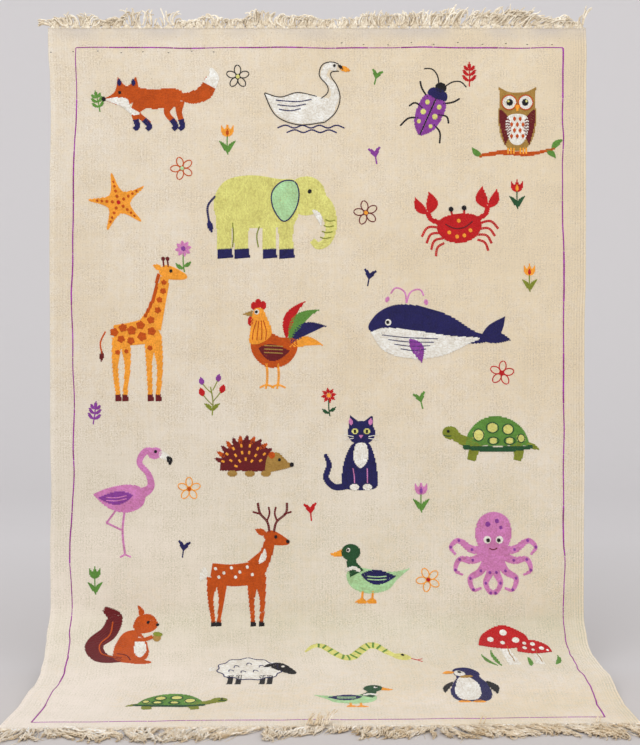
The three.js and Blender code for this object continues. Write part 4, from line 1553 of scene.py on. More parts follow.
@dataclass(frozen=True)
class WeaveFinish:
    """The finish of the woven ground: thick weft over hidden warp, in undyed wool and cotton, with painted
    shade and light.

    The cloth's own map holds flat places in metres, with the second number running up the cloth.
    """

    name: str = "woven_ground"
    cool: Colour = (232, 222, 206)
    warm: Colour = (232, 215, 184)
    # the darker colour that painted shade and the darker yarns of the streaks and grain mix towards
    shadow: Colour = (209, 193, 168)
    low_shadow: Colour = (204, 197, 172)
    # the colour of the painted shadow below the upper fringe
    fringe_shadow_grey: Colour = (204, 194, 184)
    fleck: Colour = (150, 128, 96)
    warp_pitch: float = 6.4 * MM
    weft_pitch: float = 2.5 * MM
    relief: float = 0.8 * MM
    half_width: float = 0.6
    ribs: Selvedge = Selvedge()
    painted_shade_rows: Rows = (  # place up the cloth, how dark the painted shade is there, below 0 painted light
        (-1.65, -0.38), (-1.52, -0.24), (-1.46, -0.16), (-1.41, -0.05), (-1.37, 0.13), (-1.335, 0.2),
        (-1.31, 0.05), (-1.28, -0.1), (-0.7, 0),
    )
    yellow_rows: Rows = ((-1.60, -0.28), (-1.42, -0.5), (-1.0, -0.5), (-0.7, 0.06))
    # painted shade of the bend on its right: across, how dark; down the cloth, how much of it
    bend_shade_across: Rows = ((0.15, 0.0), (0.45, 0.18), (0.54, 0.18), (0.58, -0.08))
    bend_shade_down: Rows = ((-1.57, 0.0), (-1.48, 1.0), (-1.33, 1.0), (-1.28, 0.0))
    streak_rows: Rows = (  # stretch across, stretch up, scale, detail, the noise's range, how dark
        (22, 1, 420, 2, 0.35, 0.7, 0.0, 0.16),
        (22, 1, 70, 1, 0.35, 0.65, -0.03, 0.05),
        (1, 14, 160, 1, 0.35, 0.65, -0.04, 0.08),
        (1, 1, 5, 2, 0.3, 0.7, -0.1, 0.14),
    )

    def _selvedge(self, side: Value) -> Value:
        """Adds the shade of the grooves between the ribs of the selvedges, and of the paler edges.

        Args:
            side: The place across.

        Returns:
            The shade.
        """
        reach = self.ribs.reach
        inwards = self.half_width - abs(side)
        near = inwards.ramp(0.2 * reach, reach, 1.0, 0.3) * inwards.ramp(reach, 0.06, 1.0, 0.0)
        depth = side.ramp(-0.3, 0.3, 0.1, 0.5)
        grooves = inwards.humps(math.pi / self.ribs.pitch, "COSINE") ** 6.0 * near * depth
        return grooves + (side.ramp(-0.592, -0.586, -0.22, 0.0) + side.ramp(0.5955, 0.598, 0.0, -0.35))

    def material(self) -> bpy.types.Material:
        """Makes the material."""
        made, sketch, shader = new_material(self.name)
        place = sketch.add("UVMap", uv_map="cloth")
        side = sketch.add("SeparateXYZ", feeds={0: place})
        up = side.beside(1)
        wander = sketch.noise(place, 60, 1)
        side_turns = side / self.warp_pitch + wander * 0.35
        up_turns = up / self.weft_pitch + wander * 0.9
        rib = side_turns.humps(math.pi)
        weft = (up_turns + side_turns.reckon("FLOOR") * 0.5).humps(math.pi)
        height = rib * 0.25 + weft * 0.8 + sketch.noise(place, 1500, 2) * 0.5

        patch = sketch.noise(place, 17, 1).ramp(0.38, 0.62, 0.3, 1.0)
        broken = patch * sketch.noise(place, 190, 1).ramp(0.42, 0.62, 0.0, 0.7)
        # Painted shade in the hollows between the wefts and the ribs and in the selvedges' grooves, whose
        # outer edges are paler.
        dark = (1.0 - weft) * 0.22 + (1.0 - rib) ** 2.0 * broken + self._selvedge(side)
        dark += sketch.noise(place, 360, 1).ramp(0.3, 0.7, -0.36, 0.66) * patch
        # Painted shade and light down the cloth: a little paler above the bend, darker where it starts to
        # bend, paler further on and lying.
        dark += up.slopes(self.painted_shade_rows)
        # Painted light: the left of the lower cloth is paler.
        painted_left_light = side.ramp(-0.55, -0.2, -0.22, 0.0) * up.ramp(-1.16, -1.06, 1.0, 0.0)
        # Painted shade in the bend, deeper towards the right, with a little painted light at the right
        # edge.
        dark += painted_left_light + side.slopes(self.bend_shade_across) * up.slopes(self.bend_shade_down)
        for across, along, scale, detail, *spread in self.streak_rows:
            feeds = {"Vector": place, "Scale": (across, along, 1.0)}
            stretched = sketch.add("Mapping", feeds=feeds, vector_type="TEXTURE")
            dark += sketch.noise(stretched, scale, detail).ramp(*spread)

        mottle = sketch.noise(place, 5, 2) + sketch.noise(place, 70, 1)
        yellowed = side.ramp(-0.6, 0.6, 0.2, 0.9) + up.slopes(self.yellow_rows)
        wool = sketch.mix(yellowed + mottle.ramp(0.7, 1.3, -0.4, 0.4), linear(self.cool), linear(self.warm))
        low = up.ramp(-1.2, -0.8, 1.0, 0.0)
        shadow = sketch.mix(low, linear(self.shadow), linear(self.low_shadow))
        colour = sketch.mix(dark, wool, shadow, clamp=False)
        # Painted shadow of the upper fringe, in patches just below the upper woven end.
        fringe_shadow = up.ramp(-0.034, -0.006, 0.0, 0.85) * sketch.noise(place, 7, 1).ramp(0.38, 0.6, 0.1, 1.0)
        colour = sketch.mix(fringe_shadow, colour, linear(self.fringe_shadow_grey))
        specks = sketch.noise(place, 310, 1).ramp(0.67, 0.74, 0.0, 0.5)
        feeds = {
            "Base Color": sketch.mix(specks, colour, linear(self.fleck)),
            "Roughness": 0.95,
            "Sheen Weight": 0.2,
            "Specular IOR Level": 0.15,
            "Normal": sketch.bump(height, self.relief, 0.8),
        }
        sketch.feed(shader, feeds)
        return made


@dataclass(frozen=True)
class PaintFinish:
    """A plain matt paint for the floor and backdrop, with painted light: paler further back and higher up.

    The depths and heights are those between which the tone changes.
    """

    name: str
    near: Colour
    far: Colour
    high: Colour
    depths: Point
    heights: Point

    def material(self) -> bpy.types.Material:
        """Makes the material."""
        made, sketch, shader = new_material(self.name)
        across = sketch.add("SeparateXYZ", feeds={0: sketch.add("TexCoord", "Object")})
        back = across.beside(1).ramp(*self.depths, 0.0, 1.0)
        up = across.beside(2).ramp(*self.heights, 0.0, 1.0)
        floor = sketch.mix(back, linear(self.near), linear(self.far))
        colour = sketch.mix(up, floor, linear(self.high))
        sketch.feed(shader, {"Base Color": colour, "Roughness": 0.9, "Specular IOR Level": 0.1})
        return made


@dataclass
class WovenGround:
    """The woven ground: one closed sheet with ribbed selvedges, which hangs, sweeps and lies."""

    form: ClothForm
    finish: WeaveFinish = field(default_factory=WeaveFinish)
    name: str = "woven_ground"
    rib_steps: int = 4
    middle_columns: int = 110
    rows: int = 130

    def _sides(self) -> tuple[np.ndarray, np.ndarray]:
        """Returns the places across of the sheet's columns, and the height of the ribs there."""
        half, ribs = self.form.width / 2, self.finish.ribs
        steps = np.linspace(0, ribs.reach, ribs.count * self.rib_steps + 1)
        middle = np.linspace(-half + ribs.reach, half - ribs.reach, self.middle_columns + 1)[1:-1]
        sides = np.concatenate([-half + steps, middle, half - steps[::-1]])
        inwards = half - np.abs(sides)
        ribbed = np.abs(np.sin(np.pi * inwards / ribs.pitch)) * np.where(inwards < ribs.reach + 1e-6, 1, 0)
        fading = 1 - 0.5 * inwards / ribs.reach
        return sides, ribbed * fading * np.where(sides < 0, *ribs.heights)

    def build(self) -> bpy.types.Object:
        """Builds the sheet and returns its object."""
        sides, ribs = self._sides()
        side, part = np.meshgrid(sides, np.linspace(0, 1, self.rows + 1))
        down = part * self.form.end_at(side)
        places, normals = self.form.lay(side, down)
        thick = (self.form.thickness / 2 + ribs)[None, :, None]
        points = np.concatenate([places + normals * thick, places - normals * thick]).reshape(-1, 3)
        points[:, 2] = np.maximum(points[:, 2], self.form.floor)
        number = np.arange(side.size).reshape(side.shape)
        corners = [number[1:, :-1], number[1:, 1:], number[:-1, 1:], number[:-1, :-1]]
        front = np.stack(corners, -1).reshape(-1, 4)
        ring = np.concatenate([number[0], number[1:, -1], number[-1, -2::-1], number[-2:0:-1, 0]])
        after = np.roll(ring, -1)
        rim = np.stack([ring, after, after + side.size, ring + side.size], -1)
        made = new_mesh_object(self.name, points, np.concatenate([front, front[:, ::-1] + side.size, rim]))
        flat = np.stack([side.ravel(), -down.ravel()], -1)
        write_uv(made, "cloth", np.concatenate([flat, flat]))
        made.data.materials.append(self.finish.material())
        return made


@dataclass
class ThreadPiece:
    """Gathers meshes of thread and makes them one piece."""

    name: str
    parts: list[tuple[np.ndarray, ...]] = field(default_factory=list)

    def add(self, points: np.ndarray, faces: np.ndarray, thread: np.ndarray, tints: np.ndarray) -> None:
        """Adds a mesh of thread, with the thread's map and its tint at each vertex."""
        before = sum(len(part[0]) for part in self.parts)
        self.parts.append((points, faces + before, thread, tints))

    def build(self, finish: ThreadFinish) -> bpy.types.Object:
        """Makes the piece in its finish and returns its object."""
        points, faces, thread, tints = (np.concatenate(column) for column in zip(*self.parts))
        made = new_mesh_object(self.name, points, faces)
        write_uv(made, "thread", thread)
        write_values(made, "tint", tints)
        made.data.materials.append(finish.material())
        return made


@dataclass
class Embroidery:
    """The stitches on the cloth, one piece for each yarn."""

    form: ClothForm
    basket: StitchBasket
    seed: int = 5
    lay: float = 3.4 * MM
    unevenness: float = 0.24
    plum_unevenness: float = 0.5  # the yarn of the border line is dyed less evenly

    def _copies(self, kind: StitchKind, rows: np.ndarray) -> tuple[np.ndarray, np.ndarray, np.ndarray]:
        """Copies a kind's small mesh along stitches.

        Args:
            kind: The kind.
            rows: The stitches.

        Returns:
            The vertices, the faces and the thread map.
        """
        shape = kind.value
        template = np.asarray(shape.points, float)
        start, way = rows[:, None, 0:2], (rows[:, 2:4] - rows[:, 0:2])[:, None]
        left = unit(np.stack([way[..., 1], -way[..., 0]], -1))
        along, aside, high = template.T
        flat = start + way * along[:, None] + left * (aside * rows[:, 4:5] / 2)[..., None]
        places, normals = self.form.lay(flat[..., 0], flat[..., 1])
        height = self.form.thickness / 2 + rows[:, 5:6] + rows[:, 6:7] * high
        points = places + normals * (shape.out * height)[..., None]
        points[..., 2] = np.maximum(points[..., 2], self.form.floor)
        length = np.linalg.norm(way, axis=-1)
        thread = np.stack([length * along, np.broadcast_to(aside, height.shape)], -1)
        faces = np.asarray(shape.faces)[None] + (np.arange(len(rows)) * len(template))[:, None, None]
        return points.reshape(-1, 3), faces.reshape(-1, 3), thread.reshape(-1, 2)

    def build(self, yarn: Yarn) -> bpy.types.Object:
        """Builds all the stitches of one yarn and returns their object."""
        chance = np.random.default_rng(self.seed + list(Yarn).index(yarn))
        name = yarn.name.lower()
        piece = ThreadPiece(f"stitches_{name}")
        for kind in StitchKind:
            rows = self.basket.of(yarn, kind)
            if not len(rows):
                continue
            points, faces, thread = self._copies(kind, rows)
            each = len(kind.value.points)
            thread[:, 0] += np.repeat(chance.uniform(0, 0.05, len(rows)), each)
            piece.add(points, faces, thread, np.repeat(chance.uniform(0, 1, len(rows)), each))
        unevenness = self.plum_unevenness if yarn is PLUM else self.unevenness
        return piece.build(ThreadFinish(f"yarn_{name}", yarn.value, self.lay, unevenness))


@dataclass
class BorderLine:
    """The line of stitches round the cloth inside its edges, and the weaver's guide marks by it."""

    form: ClothForm
    basket: StitchBasket
    widths: tuple[Point, ...] = ((2.0, 3.4), (2.4, 4.1), (1.9, 3.4), (1.0, 2.4))  # left, right, top, end
    lengths: int = 15
    top: float = 0.045
    above_end: float = 0.036
    marks: int = 22
    mark_gap: tuple[int, int] = (8, 12)  # the marks from one to the other aren't worked
    first_mark: float = -596  # millimetres, as are the next ones
    mark_pitch: float = 52.2
    mark_downs: Point = (55, 36)  # before the gap and after it
    late_shift: float = 22
    mark_strays: float = 3
    mark_half: float = 2.2
    mark_width: float = 1.5
    side_rows: Rows = (  # down, place of the left line, place of the right line
        (0.045, -0.5385, 0.5475), (0.1, -0.5416, 0.5476), (0.15, -0.5405, 0.548), (0.2, -0.5423, 0.547),
        (0.25, -0.5459, 0.55), (0.3, -0.5472, 0.5468), (0.43, -0.5477, 0.5483), (0.52, -0.5473, 0.5518),
        (0.61, -0.551, 0.5512), (0.72, -0.5494, 0.5532), (0.85, -0.5446, 0.5545), (0.97, -0.548, 0.5517),
        (1.09, -0.5529, 0.553), (1.15, -0.5556, 0.5552), (1.2, -0.555, 0.5577), (1.25, -0.5521, 0.5556),
        (1.34, -0.5513, 0.5522), (1.38, -0.5487, 0.5508), (1.42, -0.5482, 0.5533), (1.46, -0.55, 0.55),
        (1.5, -0.5488, 0.5435), (1.54, -0.5509, 0.5455), (1.58, -0.5508, 0.549), (1.7, -0.5482, 0.544),
        (1.79, -0.547, 0.54),
    )

    @staticmethod
    def _waver(distance: np.ndarray, phase: float) -> np.ndarray:
        """Returns the small waver of a line that is worked by eye, in metres."""
        slow = 1.5 * np.sin(distance / 0.055 + phase) + 0.9 * np.sin(distance / 0.0237 + 2.7 * phase)
        return slow * 0.6 * MM

    def work(self) -> None:
        """Works the four sides of the line."""
        share = np.linspace(0, 1, 61)
        end = self.form.end_at(np.array([-0.54, 0.54])) - self.above_end
        paths = []
        for column, last in enumerate(end, start=1):
            downs = self.top + (last - self.top) * share
            waver = self._waver(downs, 1.3 * column) * np.sin(np.pi * share)
            paths.append(np.stack([eased(self.side_rows, downs, column) + waver, downs], -1))
        left, right = paths
        for row, phase in ((0, 0.4), (-1, 2.2)):
            first, last = left[row], right[row]
            sides = first[0] + (last[0] - first[0]) * share
            downs = first[1] + (last[1] - first[1]) * share
            if row:
                downs = self.form.end_at(sides) - self.above_end
            waver = self._waver(sides, phase) * np.clip(8 * np.sin(np.pi * share), 0, 1)
            paths.append(np.stack([sides, downs + waver], -1))
        each = len(share) // self.lengths
        for number, path in enumerate(paths):
            pen = Pen(self.basket, 0, 0, seed=900 + number)
            points = path / (MM, -MM)
            for first in range(0, len(points) - 1, each):
                width = pen.chance.uniform(*self.widths[number])
                pen.line(PLUM, points[first : first + each + 1], width, 0)

    def mark(self) -> None:
        """Works the guide marks, which are short dark threads in a row."""
        chance = np.random.default_rng(77)
        pen = Pen(self.basket, 0, 0, seed=940)
        gap_start, gap_stop = self.mark_gap
        for number in range(self.marks):
            late = number >= gap_start
            side = self.first_mark + self.mark_pitch * number + late * self.late_shift
            side += chance.uniform(-self.mark_strays, self.mark_strays)
            down = self.mark_downs[late] + chance.uniform(-self.mark_strays, self.mark_strays)
            if gap_start <= number < gap_stop:
                continue
            tilt = chance.uniform(-1, 1)
            ends = [(side - self.mark_half, -down - tilt), (side + self.mark_half, -down + tilt)]
            pen.line(BLACK, ends, self.mark_width, 0)


@dataclass
class StrandBundle(ThreadPiece):
    """Gathers twisted strands as closed tubes, with nothing below the floor."""

    floor: float = 0.0
    seed: int = 0
    lay: float = 12 * MM
    sides: int = 5
    lobe: float = 0.16
    round_map: float = 4.76  # what the thread map counts once round a strand

    def __post_init__(self) -> None:
        """Starts the chance of the tints."""
        self.chance = np.random.default_rng(self.seed)

    def strands(self, paths: np.ndarray, radii: np.ndarray, paleness: np.ndarray | float) -> None:
        """Adds strands that have the same number of stations.

        Args:
            paths: Their middle lines.
            radii: Their radius at each station.
            paleness: How pale they are at each station, around 0.5; the fringes paint shade into it.
        """
        count, stations, _ = paths.shape
        way = unit(np.gradient(paths, axis=1))
        across = np.empty_like(way)
        across[:, 0] = unit(np.cross(way[:, 0], (0.31, 0.87, 0.38)))
        for k in range(1, stations):
            carried = across[:, k - 1]
            across[:, k] = unit(carried - way[:, k] * np.sum(carried * way[:, k], -1, keepdims=True))
        other = np.cross(way, across)
        so_far = distances(paths)
        turn = np.arange(self.sides) / self.sides * 2 * np.pi
        swell = 1 + self.lobe * np.cos(turn - so_far[..., None] / self.lay * 2 * np.pi)
        reach = radii[..., None] * swell
        ring = (
            paths[:, :, None]
            + across[:, :, None] * (reach * np.cos(turn))[..., None]
            + other[:, :, None] * (reach * np.sin(turn))[..., None]
        )
        foot, tip = paths[:, 0] - way[:, 0] * radii[:, :1] * 0.5, paths[:, -1] + way[:, -1] * radii[:, -1:]
        each = stations * self.sides
        points = np.concatenate([ring.reshape(count, each, 3), np.stack([foot, tip], 1)], 1)
        points[..., 2] = np.maximum(points[..., 2], self.floor)

        number = np.arange(each).reshape(stations, self.sides)
        after = np.roll(number, -1, 1)
        low, high, far, near = number[:-1], number[1:], after[1:], after[:-1]
        walls = [np.stack(corners, -1).reshape(-1, 3) for corners in ([low, near, far], [low, far, high])]
        middle = np.full(self.sides, each)
        foot_cap = np.stack([middle, after[0], number[0]], -1)
        tip_cap = np.stack([middle + 1, number[-1], after[-1]], -1)
        faces = np.concatenate([*walls, foot_cap, tip_cap])[None]
        faces = faces + (np.arange(count) * (each + 2))[:, None, None]

        along = np.broadcast_to(so_far[..., None], swell.shape)
        rounds = np.broadcast_to(turn / (2 * np.pi), swell.shape) * self.round_map
        ends = np.stack([so_far[:, [0, -1]], np.zeros((count, 2))], -1)
        thread = np.concatenate([np.stack([along, rounds], -1).reshape(count, each, 2), ends], 1)
        tint = np.broadcast_to(paleness, radii.shape) + self.chance.uniform(-0.2, 0.2, (count, 1))
        tints = np.concatenate([np.repeat(tint, self.sides, 1), tint[:, [0, -1]]], 1)
        self.add(points.reshape(-1, 3), faces.reshape(-1, 3), thread.reshape(-1, 2), tints.ravel())


FRINGE_COTTON = ThreadFinish("fringe_cotton", (243, 230, 206), 6 * MM, unevenness=0.45, relief=0.4 * MM)
# The fringe on the floor takes a copy of the cotton, a little redder and with warmer painted shade, against
# the grey light from the floor.
FLOOR_COTTON = replace(
    FRINGE_COTTON, name="floor_fringe_cotton", colour=(245, 230, 206), warmth=(0.66, 1.0, 1.6)
)

UPPER_FRINGE_ROWS: Rows = (  # across, height, lean in degrees, curl in radians, share of strands
    (-600, 14, -80, 0.8, 1), (-577, 20, -50, 1.2, 1), (-541, 28, -20, 1.6, 1), (-520, 22, 30, 1.8, 1),
    (-490, 17, 56, 1.4, 1), (-446, 22, 50, 1.6, 1), (-428, 47, -8, 0.7, 0.5), (-398, 36, 12, 0.9, 0.45),
    (-377, 48, 0, 0.5, 0.3), (-357, 10, 0, 0.6, 0.12), (-337, 46, -24, 0.5, 0.08), (-308, 9, 20, 3.1, 1),
    (-280, 11, -10, 2.6, 0.9), (-240, 19, 5, 2, 0.9), (-207, 12, 15, 2.7, 1), (-169, 14, 20, 2.4, 1),
    (-135, 42, 0, 0.6, 0.9), (-94, 22, 10, 1.8, 1), (-61, 19, 0, 1.8, 1), (-34, 20, 30, 2.2, 1),
    (7, 15, 10, 1.6, 1), (40, 18, 0, 1.4, 1), (79, 21, 5, 1.2, 1), (112, 32, 5, 0.9, 1), (164, 31, 8, 1, 1),
    (231, 33, 8, 1.1, 1), (276, 36, 14, 1, 1), (294, 42, 25, 0.8, 1), (344, 35, 38, 0.7, 1),
    (411, 42, 44, 0.7, 1), (455, 36, 46, 0.7, 1), (484, 20, 66, 0.8, 1), (506, 16, 76, 0.8, 1),
    (542, 21, 45, 2.5, 1), (566, 11, 50, 2.5, 1), (588, 10, 20, 1.6, 0.6), (600, 56, 6, 0.3, 0.5),
)

LOWER_FRINGE_ROWS: Rows = (  # across, front edge, swing in degrees, curl, rise, share of strands
    (-602, 558, -50, 0.8, 3, 1), (-560, 560, -50, 0.7, 3, 1), (-535, 556, -14, 1.4, 7, 1),
    (-503, 536, 26, 1.4, 10, 1), (-476, 538, 56, 0.9, 10, 1), (-440, 534, 70, 0.5, 8, 1),
    (-415, 562, 4, 1.2, 3, 1), (-395, 556, 20, 1, 2, 0.7), (-372, 522, 40, 1, 2, 0.4),
    (-352, 548, 10, 1.8, 3, 1), (-315, 556, -12, 2.2, 4, 1), (-262, 556, -14, 2.2, 4, 1),
    (-225, 548, -20, 2, 4, 1), (-200, 546, -26, 1.2, 3, 1), (-170, 552, -40, 0.8, 3, 1),
    (-140, 558, -42, 0.6, 3, 1), (-112, 548, -40, 0.8, 2, 0.8), (-98, 552, 8, 1, 2, 1),
    (-74, 540, -14, 1.6, 4, 1), (-50, 540, -10, 1.6, 3, 1), (-25, 520, -34, 1, 5, 1),
    (7, 508, -36, 0.8, 7, 1), (36, 506, -26, 0.7, 4, 1), (64, 504, -24, 0.8, 4, 1),
    (90, 520, -14, 1.8, 4, 1), (120, 530, -24, 1, 3, 1), (146, 544, -34, 0.8, 3, 1),
    (176, 536, -36, 0.8, 3, 1), (200, 520, -44, 0.8, 3, 1), (216, 536, 14, 1.6, 4, 1),
    (256, 532, 30, 1.2, 4, 1), (290, 532, 38, 0.9, 5, 1), (340, 530, 32, 0.8, 5, 1),
    (380, 516, 34, 0.8, 4, 1), (410, 520, 32, 0.8, 4, 1), (450, 532, 36, 0.7, 4, 1),
    (500, 542, 34, 1, 4, 1), (540, 540, 26, 1.4, 5, 1), (596, 540, 34, 0.8, 4, 1),
)


@dataclass
class Fringe:
    """A fringe: the warp ends gathered into a row of tongues, with loose twisted strands between them."""

    form: ClothForm
    name: str
    rows: Rows
    tongues: int = 52
    warp_ends: int = 7
    strands: int = 4
    wisps: int = 2
    tongue_length: float = 17 * MM
    stations: int = 17
    strand_radius: float = 1.6 * MM
    wisp_radius: float = 0.55 * MM
    end_stations: int = 7
    seed: int = 21

    def __post_init__(self) -> None:
        """Starts the fringe's chance, its bundle and the shares along a strand."""
        self.chance = np.random.default_rng(self.seed)
        self.bundle = StrandBundle(self.name, floor=self.form.floor, seed=self.seed)
        self.share = np.linspace(0, 1, self.stations)

    @property
    def pitch(self) -> float:
        """Returns the distance between two tongues."""
        return self.form.width / self.tongues

    def _warp_ends(self) -> tuple[np.ndarray, np.ndarray, np.ndarray]:
        """Lays out the warp ends of every tongue on the flat.

        Returns:
            The places across and outwards of each end's stations, and its radius at each.
        """
        chance, tongues, stations = self.chance, self.tongues, self.end_stations
        middles = -self.form.width / 2 + self.pitch * (np.arange(tongues) + 0.5)
        share = np.linspace(0, 1, stations)
        foot = (np.arange(self.warp_ends) + 0.5) / self.warp_ends - 0.5
        spread = foot[None, :, None] * self.pitch * (1.0 - 0.86 * share)
        side = middles[:, None, None] + spread
        side = side + chance.normal(0, 0.2 * MM, (tongues, self.warp_ends, stations))
        side = side + chance.normal(0, 1.6 * MM, (tongues, 1, 1)) * share
        full = eased(self.rows, middles / MM, len(self.rows[0]) - 1)[:, None, None]
        tall = self.tongue_length * chance.uniform(0.8, 1.1, (tongues, 1, 1)) * (0.4 + 0.6 * full)
        height = (1 - 0.5 * np.abs(foot))[None, :, None]
        out = -2 * MM + (tall * height + 2 * MM) * share
        radius = np.broadcast_to((1.9 - 0.7 * share) * MM, side.shape)
        return side.reshape(-1, stations), out.reshape(-1, stations), radius.reshape(-1, stations)

    def _roots(self, each: int) -> tuple[np.ndarray, np.ndarray, list[np.ndarray]]:
        """Picks where strands start, in the valleys between tongues, and reads the fringe's table there.

        Args:
            each: The number of strands for each valley.

        Returns:
            The places across; two numbers for each strand, its place in its valley from -1 to 1 and one
            that its clump shares; and the table's columns but the first and the last.
        """
        valley = np.repeat(np.arange(self.tongues + 1), each)
        order = np.tile(np.arange(each) + 0.5, self.tongues + 1) / each * 2 - 1
        place = order + self.chance.uniform(-1, 1, len(valley)) / each
        half = self.form.width / 2 - 3 * MM
        side = np.clip(self.pitch * (valley + 0.34 * place) - self.form.width / 2, -half, half)
        clump = np.random.default_rng(self.seed + 1).normal(0, 1, self.tongues + 1)[valley // 2 * 2]
        facts = [eased(self.rows, side / MM, column) for column in range(1, len(self.rows[0]))]
        kept = self.chance.uniform(0, 1, len(valley)) < facts[-1]
        return side[kept], np.column_stack([place, clump])[kept], [fact[kept] for fact in facts[:-1]]

    def _radii(self, count: int, radius: float) -> np.ndarray:
        """Returns the radius of each strand at each station, a little thinner at its tip."""
        taper = 1 - 0.25 * np.clip((self.share - 0.85) / 0.15, 0, 1) ** 1.5
        return self.chance.uniform(0.8, 1.2, (count, 1)) * radius * taper


@dataclass
class UpperFringe(Fringe):
    """The fringe that stands and curls above the hung end."""

    strands: int = 13
    strand_radius: float = 1.75 * MM
    front_limit: float = 36 * MM
    left_limit: float = 0.628
    right_limit: float = 0.616
    root_height: float = 3 * MM
    fan: float = 26.0

    def build(self) -> bpy.types.Object:
        """Builds the fringe and returns its object."""
        side, out, radius = self._warp_ends()
        paleness = 0.5 - 0.4 * np.linspace(0, 1, self.end_stations)
        self.bundle.strands(np.stack([side, -0.7 * MM - 0.05 * out, out], -1), radius, paleness)
        self._loose_strands(self.strands, self.strand_radius)
        self._loose_strands(self.wisps, self.wisp_radius)
        return self.bundle.build(FRINGE_COTTON)

    def _loose_strands(self, each: int, radius: float) -> None:
        """Adds the strands that stand up between the tongues and curl over.

        Args:
            each: Their number for each valley.
            radius: Their radius.
        """
        chance = self.chance
        start, apart, (height, lean, curl) = self._roots(each)
        count, share = len(start), self.share
        layer = chance.uniform(0, 1, count)
        lean = np.radians(lean)
        turn = np.clip(curl * chance.uniform(0.7, 1.3, count), 0.2, 3.3)
        hand = np.where(0.35 * apart[:, 1] + np.sin(lean) * 2.2 > 0, 1, -1)
        hand = np.where(chance.uniform(0, 1, count) < 0.14, -hand, hand)
        fan = np.radians(self.fan) * np.clip(1.3 - np.abs(lean), 0.25, 1) * np.clip(curl, 0.3, 1)
        first = lean + fan * apart[:, 0] + chance.normal(0, 0.07, count)
        first = first - hand * turn * np.clip(0.62 - 0.1 * curl, 0.2, 0.5)
        upright = np.cos(np.clip(np.abs(lean), 0, 1.2))
        top = (height * MM - self.root_height) * (0.8 + 0.2 * layer) * chance.uniform(0.88, 1.0, count)
        length = top * turn / np.sin(np.clip(turn, 0, math.pi / 2)) / np.where(turn < 1.3, upright, 1)
        length = np.minimum(length, chance.uniform(62, 74, count) * MM)
        waves = chance.uniform(6, 12, (count, 1)) * share + chance.uniform(0, 6, (count, 1))
        wobble = chance.uniform(0.02, 0.14, (count, 1)) * np.sin(waves)
        hook = (hand * chance.uniform(-0.3, 1.3, count))[:, None] * np.clip(share * 3 - 2, 0, 1)
        heading = first[:, None] + (hand * turn)[:, None] * share**1.1 + wobble + hook
        nod = chance.uniform(-0.1, 0.5, (count, 1)) * np.clip(share * 1.6, 0, 1)
        nod = nod + chance.uniform(-0.3, 0.3, (count, 1)) * np.sin(share * 7)
        step = (length / (self.stations - 1))[:, None]
        x = start[:, None] + np.cumsum(np.sin(heading) * np.cos(nod) * step, 1)
        z = self.root_height + np.cumsum(np.cos(heading) * np.cos(nod) * step, 1)
        y = (2.2 - 4.4 * layer[:, None]) * MM - np.cumsum(np.sin(nod) * step, 1)
        x = np.clip(x, -self.left_limit + 0.4 * np.minimum(x + self.left_limit, 0), self.right_limit)
        low = np.clip((5 * MM - z) / (5 * MM), 0, 1) * np.clip(share * 5 - 0.5, 0, 1)
        y = np.clip(y - low * 3 * MM, -self.front_limit, 2.4 * MM - low * 6.4 * MM)
        lowest = -4 * MM - 6 * MM * np.clip(curl - 1.4, 0, 1)[:, None]
        z = np.maximum(z, lowest + 0.3 * (z - lowest))
        # Painted shade: the strands further back and near their roots are darker.
        paleness = 0.05 + 0.8 * layer[:, None] - 0.3 * np.clip(1.6 - 4 * share, 0, 1)
        self.bundle.strands(np.stack([x, y, z], -1), self._radii(count, radius), paleness)


